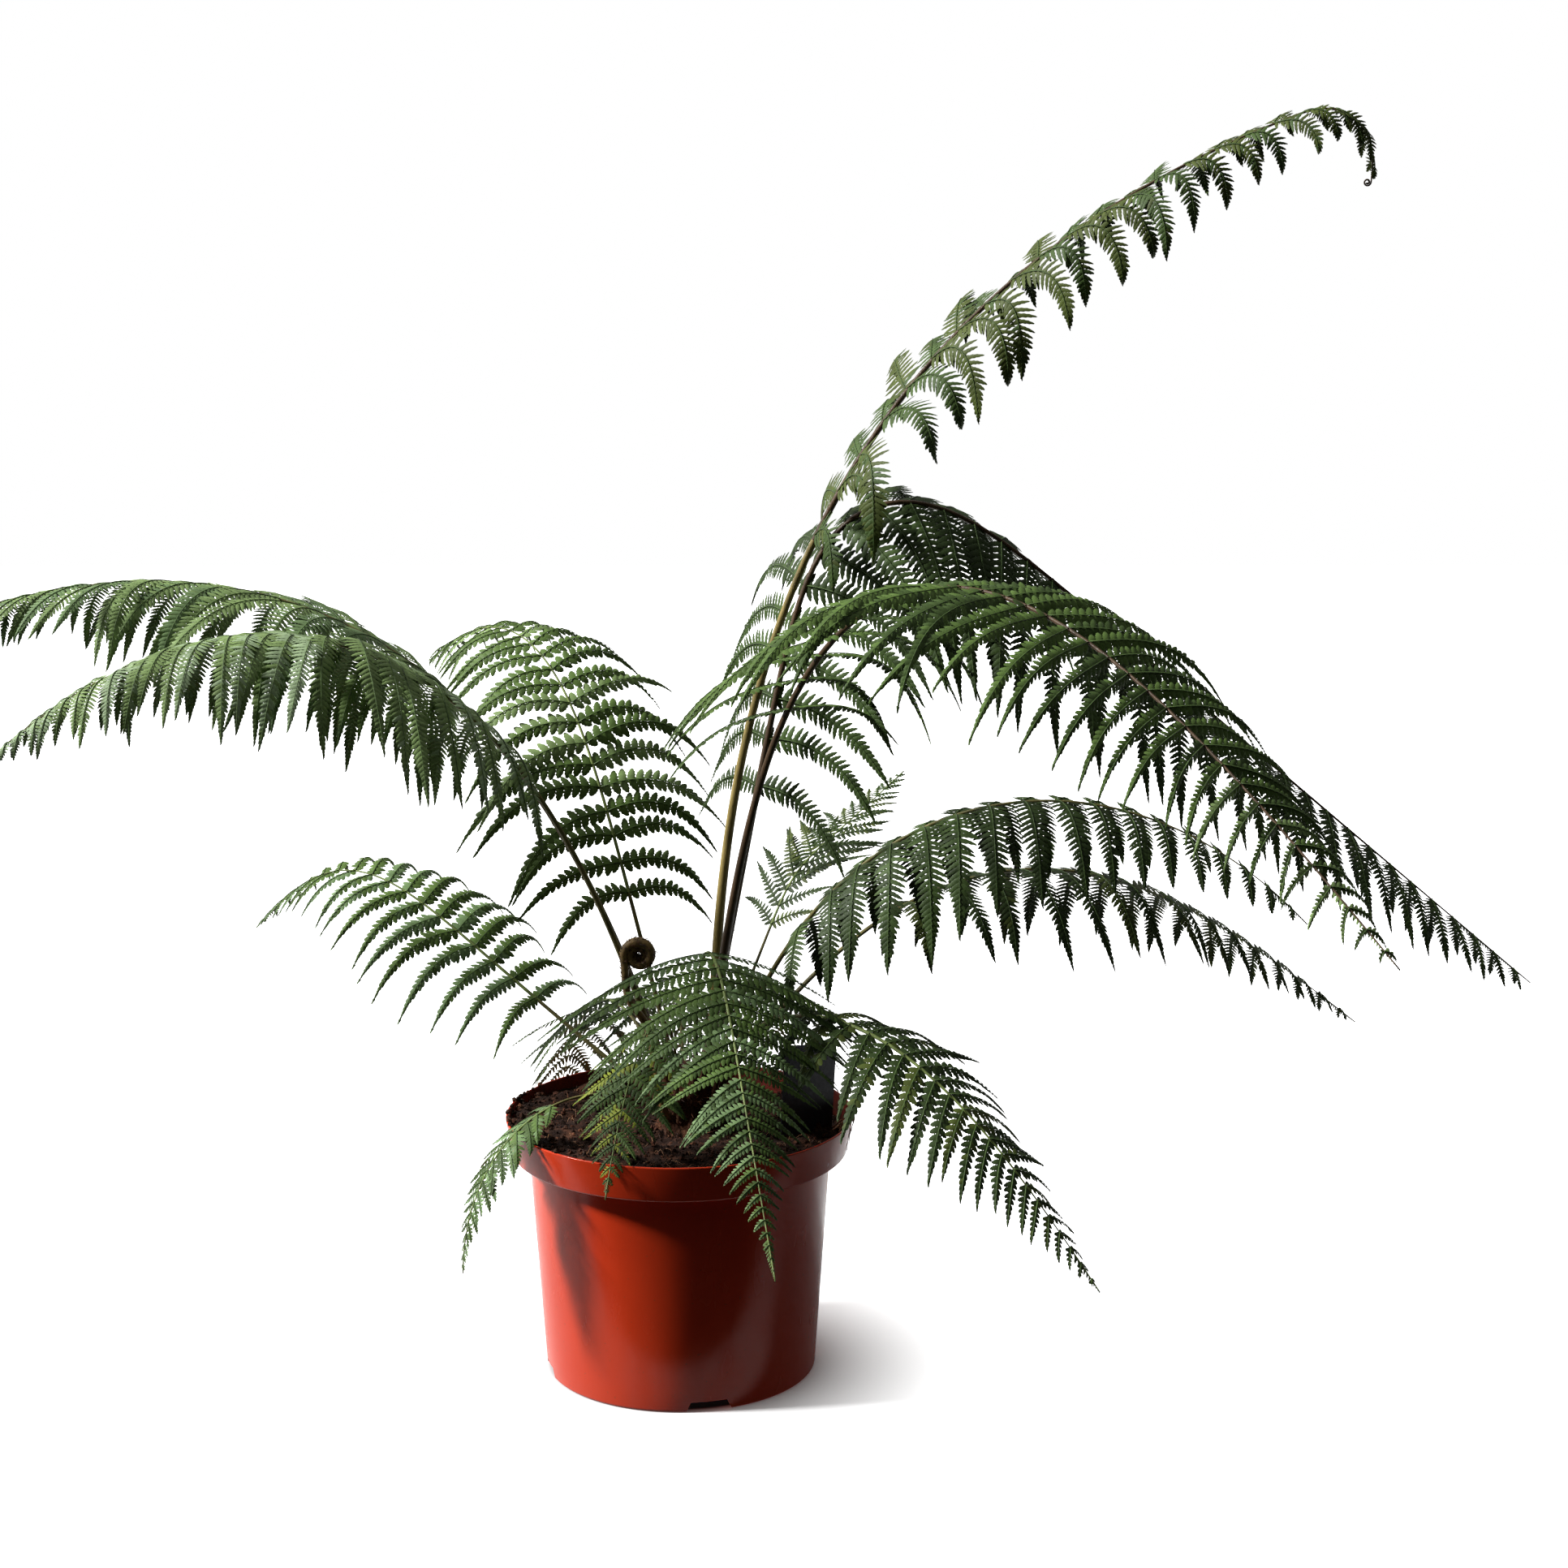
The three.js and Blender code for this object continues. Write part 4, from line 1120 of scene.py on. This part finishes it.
def pinna_line(frond, points, share, side):
    """Points along a side branch, its headings, breadths and upper directions, and its length."""
    base, tangent, flat, upper = branch_foot(frond, points, share)
    roll = radians(frond.roll * (1 - frond.unroll * share))
    across, face = rotate_toward(flat, upper, roll), rotate_toward(upper, -flat, roll)
    wild = frond.wild
    lean = (frond.lean + side * frond.skew) * (1 - LEAN_LOSS * share)
    lean = radians(lean + wild * rng.normal(0, STRAY.lean))
    lift = radians(frond.lift + wild * rng.normal(0, STRAY.lift))
    outward = rotate_toward(tangent, rotate_toward(side * across, face, lift), lean)
    size = frond.pinna * reach_share(share, frond) * (1 + wild * rng.normal(0, STRAY.size))
    headings = drooping(outward, tangent, frond, side)
    breadth = unit(tangent - (headings @ tangent)[:, None] * headings)
    headings, breadth, normals = hooked(headings, breadth, frond, side)
    spots = np.vstack([base, base + np.cumsum(headings * size / PINNA_STEPS, axis=0)])
    return spots, headings, breadth, normals, size


def half_width(u):
    """Half the width of a unit leaflet at a share of its length, with a wing at its foot."""
    wing = OUTLINE.wing * max(1 - u / OUTLINE.wing_reach, 0)
    return wing + OUTLINE.half * (1 - u ** OUTLINE.blunt) ** OUTLINE.full


def pinnule_form(teeth):
    """Unit leaflet with a toothed margin: its places along and across, and its faces."""
    along = list(np.arange(teeth + 1) / teeth)
    across = [0.0] * (teeth + 1)
    faces = []
    for side in (1, -1):
        notches, crests = [], []
        for tooth in range(teeth):
            notch, crest = tooth / teeth, (tooth + LEAFLET.tooth_at) / teeth
            notches.append(len(along))
            crests.append(len(along) + 1)
            along.extend([notch, crest])
            across.append(side * half_width(notch) * (LEAFLET.notch if tooth else 1))
            across.append(side * half_width(crest))
        for tooth in range(teeth):
            found = [(tooth, notches[tooth], crests[tooth]), (tooth, crests[tooth], tooth + 1)]
            if tooth + 1 < teeth:
                found.append((tooth + 1, crests[tooth], notches[tooth + 1]))
            faces.extend(face if side < 0 else face[::-1] for face in found)
    return np.array(along), np.array(across), np.array(faces)


TOOTHED_FORM = pinnule_form(LEAFLET.teeth)
LOBED_FORM = pinnule_form(LEAFLET.lobes)


def place_leaflets(bundle, form, leaflets):
    """Copies of a unit leaflet, bent down and towards the branch's tip."""
    if not leaflets:
        return
    along, across, faces = form
    spot, lead, run, up, length, width, curl, tint = (np.array(v) for v in zip(*leaflets))
    count, corners = len(spot), len(along)
    u, v = along[None, :, None], across[None, :, None]
    length, width, curl = (values[:, None, None] for values in (length, width, curl))
    lead, run, up = lead[:, None, :], run[:, None, :], up[:, None, :]
    points = (
        spot[:, None, :]
        + length * (u - LEAFLET.bend * curl * u ** 2) * lead
        + length * LEAFLET.sweep * u ** 2 * run
        + width * v * run
        - (length * curl * u ** 2 + LEAFLET.fold * width * np.abs(v)) * up
    )
    offsets = corners * np.arange(count)[:, None, None]
    bundle.add(
        points.reshape(-1, 3), (faces[None] + offsets).reshape(-1, 3), np.repeat(tint, len(faces)),
    )


def leaflet_size(q, half, pitch, frond):
    """Length, width and spacing of the leaflets at a share q of their branch."""
    foot = min(1, LEAFLET.foot + q / LEAFLET.foot_over * LEAFLET.foot_gain)
    profile = (1 - q ** LEAFLET.fade) ** frond.point * foot
    length = half * profile + LEAFLET.least
    step = min(pitch * (1 - LEAFLET.crowd * q), LEAFLET.sparse * length)
    closing = min(max((q - LEAFLET.close_from) / LEAFLET.close_over, 0), 1)
    width = step * (frond.fill + (LEAFLET.closed - frond.fill) * closing)
    return length, min(width, LEAFLET.widest * length), step


def leaflet_pair(q, line, size, curl, tint, other):
    """The two leaflets that face each other at a share q of a branch."""
    spots, headings, breadth, normals, _ = line
    length, width = size
    spot = np.array([np.interp(q, ENDS, spots[:, axis]) for axis in range(3)])
    heading, cross, up = (
        unit(np.array([np.interp(q, MIDDLES, rows[:, axis]) for axis in range(3)]))
        for rows in (headings, breadth, normals)
    )
    slant = radians(LEAFLET.slant - LEAFLET.steepen * q ** LEAFLET.late)
    pair = []
    for side in (1, -1):
        lead = rotate_toward(heading, side * cross, slant + rng.normal(0, CHANCE.turn))
        tilted = unit(up + lead * rng.normal(0, CHANCE.tilt))
        pair.append((
            spot, lead, heading, tilted, length * rng.normal(1, CHANCE.length), width,
            curl * rng.uniform(*CHANCE.curl), tint if rng.uniform() < CHANCE.own_tint else other,
        ))
    return pair


def pinna_leaflets(frond, share, line, tint, other):
    """Every leaflet of one side branch, from its foot to its tip."""
    spots, headings, breadth, normals, size = line
    reach = reach_share(share, frond)
    half = frond.leaflet * (LEAST_LEAFLET_SHARE + (1 - LEAST_LEAFLET_SHARE) * reach)
    opening = LEAFLET.long_pitch * min(reach * LEAFLET.pitch_by, 1)
    pitch = frond.pitch * (LEAFLET.short_pitch + opening)
    found = []
    run = LEAFLET.first * pitch
    while run < size - LEAFLET.last:
        q = run / size
        length, width, step = leaflet_size(q, half, pitch, frond)
        found.extend(leaflet_pair(q, line, (length, width), frond.curl, tint, other))
        run += step
    tip = spots[-1] - headings[-1] * pitch * END_LEAFLET.back
    length, width = END_LEAFLET.length * pitch, END_LEAFLET.width * pitch
    found.append((
        tip, headings[-1], breadth[-1], normals[-1], length, width, END_LEAFLET.curl, tint,
    ))
    return found


def tip_leaflets(frond, points, tint):
    """Small leaflets that sit straight on the midrib, past its last side branches."""
    line = points[int(TIP.start * CURVE_STEPS):]
    headings = unit(np.gradient(line, axis=0))
    size = frond.length * (1 - TIP.start)
    run, found = 0, []
    while run < size:
        q = run / size
        place = q * (len(line) - 1)
        spot = between(line, place)
        heading = headings[min(int(place), len(line) - 2)]
        cross = right_of(frond.azimuth + frond.sweep, heading)
        up = np.cross(cross, heading)
        length = TIP.reach * frond.leaflet * (1 - q ** TIP.fade) + LEAFLET.least
        for side in (1, -1):
            turn = radians(TIP.slant - TIP.steepen * q + rng.normal(0, TIP.spread))
            lead = rotate_toward(heading, side * cross, turn)
            width = TIP.width * frond.pitch * (TIP.wide - q)
            found.append((spot, lead, heading, up, length, width, TIP.curl, tint))
        run += TIP.step * frond.pitch * (TIP.far - TIP.closing * q)
    return found


def rib_tube(line, half):
    """Thin rib along a side branch, just above its leaflets."""
    spots, _, _, normals, _ = line
    lift = np.vstack([normals[:1], normals]) * RIB.lift
    foot = min(RIB.thickest, RIB.thick + RIB.growth * half)
    return tube(spots + lift, np.linspace(foot, RIB.tip, len(spots)), RIB.sides)


def stalk_radius(frond, along):
    """Radius of a frond's stalk at a share of its length, thicker at its foot."""
    flare = 1 + STALK.flare * np.exp(-along / STALK.flare_over)
    slimmed = frond.thick / 2 * (1 - STALK.loss * along ** STALK.loss_power)
    return np.maximum(slimmed * flare, STALK.thinnest)


def coil_end(points, radius):
    """The rolled tip of a young frond, going on from the last point."""
    heading = unit(points[-1] - points[-2])
    inward = unit(np.cross(heading, np.cross(heading, points[-1] - points[-COIL.chord])))
    centre = points[-1] + inward * radius
    spots = []
    for turn in np.linspace(0, COIL.turns, COIL.steps)[1:]:
        angle = 2 * pi * turn
        reach = radius * (1 - COIL.shrink * turn)
        spots.append(centre - inward * reach * cos(angle) + heading * reach * sin(angle))
    return np.array(spots)


def build_stem(name, frond, points, ribs):
    """Stalk and midrib in one tube, scaly at the foot, joined with the ribs of the side branches."""
    root = points[0] - ROOT_DEPTH.inward * stem_direction(frond) - (0, 0, ROOT_DEPTH.down)
    radii = stalk_radius(frond, np.linspace(0, 1, len(points)))
    line = np.vstack([root, points])
    radii = np.concatenate([[radii[0]], radii])
    if frond.coil:
        rolled = coil_end(points, frond.coil)
        line = np.vstack([line, rolled])
        radii = np.concatenate([radii, np.linspace(radii[-1], COIL.end_radius, len(rolled))])
    stalk, faces = tube(line, radii, STALK.sides, STALK.groove)
    row = faces.min(axis=1) // STALK.sides
    scaly = 1 + STALK.scaly / frond.length * CURVE_STEPS
    leafy = 1 + frond.bare * CURVE_STEPS
    bundle = Bundle()
    bundle.add(stalk, faces, np.where(row < scaly, 2, np.where(row < leafy, 0, 1)))
    for rib in ribs:
        bundle.add(*rib, 3)
    tints = [frond.stipe, frond.rachis, "base", "rib"]
    piece = bundle.piece(f"{name}_stem", [STALK_FINISH[tint] for tint in tints])
    hand_over(piece, "frond_green", f"frond_{name}")


def build_frond(name, frond):
    points = midrib(frond)
    names = list(dict.fromkeys(frond.tints + (frond.tip,)))
    ribs, leaflets = [], []
    for pair in range(frond.pairs):
        share = ((pair + FIRST_PAIR) / frond.pairs) ** CROWDING
        for side in (1, -1):
            tint = rng.choice(frond.tints)
            if share > rng.uniform(*TIP_TINT_FROM):
                tint = frond.tip
            line = pinna_line(frond, points, share, side)
            ribs.append(rib_tube(line, frond.leaflet))
            other = names.index(rng.choice(frond.tints))
            leaflets.extend(pinna_leaflets(frond, share, line, names.index(tint), other))
    leaflets.extend(tip_leaflets(frond, points, names.index(frond.tip)))
    build_stem(name, frond, points, ribs)
    leaves = Bundle()
    place_leaflets(leaves, TOOTHED_FORM, [leaf for leaf in leaflets if leaf[4] >= LEAFLET.toothed_from])
    place_leaflets(leaves, LOBED_FORM, [leaf for leaf in leaflets if leaf[4] < LEAFLET.toothed_from])
    piece = leaves.piece(f"{name}_leaves", [LEAF_FINISH[tint] for tint in names])
    hand_over(piece, "frond_green", f"frond_{name}")


# Hairs and scales


def add_hair(bundle, root, direction, length, width, tint):
    aside = any_side(direction) * width / 2
    bend = rng.normal(0, HAIR.bend, 3) * length
    middle = root + direction * length * HAIR.middle + bend * HAIR.middle_bend
    narrow = aside * HAIR.middle_width
    tip = root + direction * length + bend
    points = [root - aside, root + aside, middle + narrow, middle - narrow, tip]
    bundle.add(points, [(0, 1, 2), (0, 2, 3), (3, 2, 4)], tint)


def hairs_on_stem(bundle, frond):
    """Hairs that stand thick at a stalk's foot and get rare along it."""
    points = midrib(frond)
    radii = stalk_radius(frond, np.linspace(0, 1, len(points)))
    hairs = STEM_HAIRS
    for _ in range(int(hairs.per_mm * frond.thick)):
        distance = min(rng.exponential(hairs.spread), hairs.reach * frond.length)
        place = distance / (frond.length / CURVE_STEPS)
        at = int(place)
        tangent = unit(points[at + 1] - points[at])
        out = any_side(tangent)
        along, stray = rng.uniform(*hairs.along), rng.normal(0, hairs.stray, 3)
        direction = unit(out + tangent * along + stray)
        root = between(points, place) + out * radii[at] * hairs.depth
        length = rng.uniform(*hairs.length)
        add_hair(bundle, root, direction, length, hairs.width, rng.integers(0, 2))


def hairs_on_crown(bundle):
    hairs = CROWN_HAIRS
    foot = (CROWN.x, CROWN.y, CROWN.foot - hairs.sunk)
    for _ in range(hairs.count):
        out = level_direction(rng.uniform(0, 2 * pi))
        z = CROWN.height * rng.uniform(*hairs.height)
        root = out * crown_radius(z, CROWN.steps[:-1]) * hairs.depth + foot + (0, 0, z)
        rise = (0, 0, rng.uniform(*hairs.rise))
        direction = unit(out + rise + rng.normal(0, hairs.stray, 3))
        length = rng.uniform(*hairs.length)
        add_hair(bundle, root, direction, length, hairs.width, rng.integers(0, 2))


def build_hairs():
    bundle = Bundle()
    for frond in FRONDS.values():
        hairs_on_stem(bundle, frond)
    hairs_on_crown(bundle)
    finishes = tones(500, 3000, hair_red=(132, 84, 56), hair_brown=(82, 54, 38))
    hand_over(bundle.piece("hairs", finishes, smooth=False), "crown_fibre")


def crozier_line():
    """Points and radii of the rolled frond, from its foot to the middle of its coil."""
    c = CROZIER
    stalk = smooth_route(c.route, c.route_steps)
    centre = np.array(c.centre, dtype=float)
    start = stalk[-1] - centre
    angle = atan2(start[2], start[0])
    first = hypot(start[0], start[2])
    coil = []
    for share in np.linspace(0, 1, c.coil_steps)[1:]:
        theta = angle - 2 * pi * c.turns * share
        radius = first + (c.hub_radius - first) * share ** c.tightening
        coil.append(centre + (radius * cos(theta), c.drift * share, radius * sin(theta)))
    stalk_radii = np.linspace(c.foot_radius, c.top_radius, len(stalk))
    swelling = [c.top_radius, c.swell, c.end_radius]
    coil_radii = np.interp(np.linspace(0, 1, len(coil)), [0, c.swell_at, 1], swelling)
    return np.vstack([stalk, coil]), np.concatenate([stalk_radii, coil_radii])


def build_crozier():
    points, radii = crozier_line()
    bundle = Bundle()
    bundle.add(*tube(points, radii, CROZIER.sides), 0)
    for _ in range(SCALES.count):
        at = int(rng.integers(1, len(points) - 1))
        tangent = unit(points[at + 1] - points[at - 1])
        out = any_side(tangent)
        direction = unit(tangent * SCALES.along + out * rng.uniform(*SCALES.out))
        root, length = points[at] + out * radii[at] * SCALES.depth, rng.uniform(*SCALES.length)
        add_hair(bundle, root, direction, length, SCALES.width, int(rng.integers(1, 3)))
    skin = mottled("crozier_skin", (124, 100, 58), dark=0.5, light=1.5, scale=200, fine=1500)
    scales = tones(400, 2500, scale_dark=(54, 34, 24), scale_red=(104, 66, 44))
    hand_over(bundle.piece("crozier_coil", [skin] + scales), "crozier_scales", "crozier")


# Label


def label_rows():
    """Half widths and heights of the label's outline, from the tip of its spike to its top."""
    foot, top, corner = LABEL.foot, LABEL.top, LABEL.corner
    half, spike = LABEL.width / 2, LABEL.spike_width
    rows = [(spike / 4, -LABEL.spike), (spike / 2, -foot - 0.01), (half, -foot)]
    rows.extend((half, z) for z in np.linspace(4 - foot, top - corner, LABEL.rows))
    for angle in np.linspace(0, pi / 2, LABEL.corner_rows)[1:]:
        rise = corner * sin(angle)
        rows.append((half - corner + sqrt(max(corner ** 2 - rise ** 2, 0)), top - corner + rise))
    return rows


def label_edge(rows, columns):
    """Numbers of the points round the edge of a sheet of points."""
    last = (rows - 1) * columns
    return (
        list(range(columns))
        + [row * columns + columns - 1 for row in range(1, rows)]
        + [last + at for at in range(columns - 2, -1, -1)]
        + [row * columns for row in range(rows - 2, 0, -1)]
    )


def build_label():
    rows, columns = label_rows(), LABEL.columns
    sheet = np.array([(x, z) for reach, z in rows for x in np.linspace(-reach, reach, columns)])
    x, z = sheet.T
    bow = LABEL.bow * (1 - (x / (LABEL.width / 2)) ** 2) * np.clip(z / LABEL.top, 0, 1)
    front = np.stack([x, -bow - LABEL.thick / 2, z], 1)
    back = front + (0, LABEL.thick, 0)
    wall, count = ring_faces(len(rows), columns, closed=False), len(front)
    edge, rim = [], label_edge(len(rows), columns)
    for a, b in zip(rim, rim[1:] + rim[:1]):
        edge.extend([(a, a + count, b + count), (a, b + count, b)])
    faces = np.vstack([wall, wall[:, ::-1] + count, edge])
    lean = radians(LABEL.lean)
    leaned = np.array([
        [cos(lean), 0, sin(lean)], [0, 1, 0], [-sin(lean), 0, cos(lean)],
    ])
    foot = (LABEL.x, LABEL.y, SOIL.level - LABEL.sunk)
    points = np.vstack([front, back]) @ leaned.T @ turned(LABEL.turn).T + foot
    plastic = mottled(
        "label_slate", (48, 52, 60), dark=0.6, light=1.35, scale=55, fine=700, rough=(0.35, 0.6),
        bump=0.0001,
    )
    label = make_piece("label_plate", points, faces, [plastic])
    label.data.set_sharp_from_angle(angle=radians(LABEL.sharp))
    hand_over(label, "label_plastic", "label")


# The scene

photo_camera()
pale_floor()
reflected_sheet()
room_light()
window_light()
build_pot()
build_soil()
build_crumbs()
build_fibres()
build_crown()
build_label()
build_crozier()
for frond_name, frond_values in FRONDS.items():
    build_frond(frond_name, frond_values)
build_hairs()
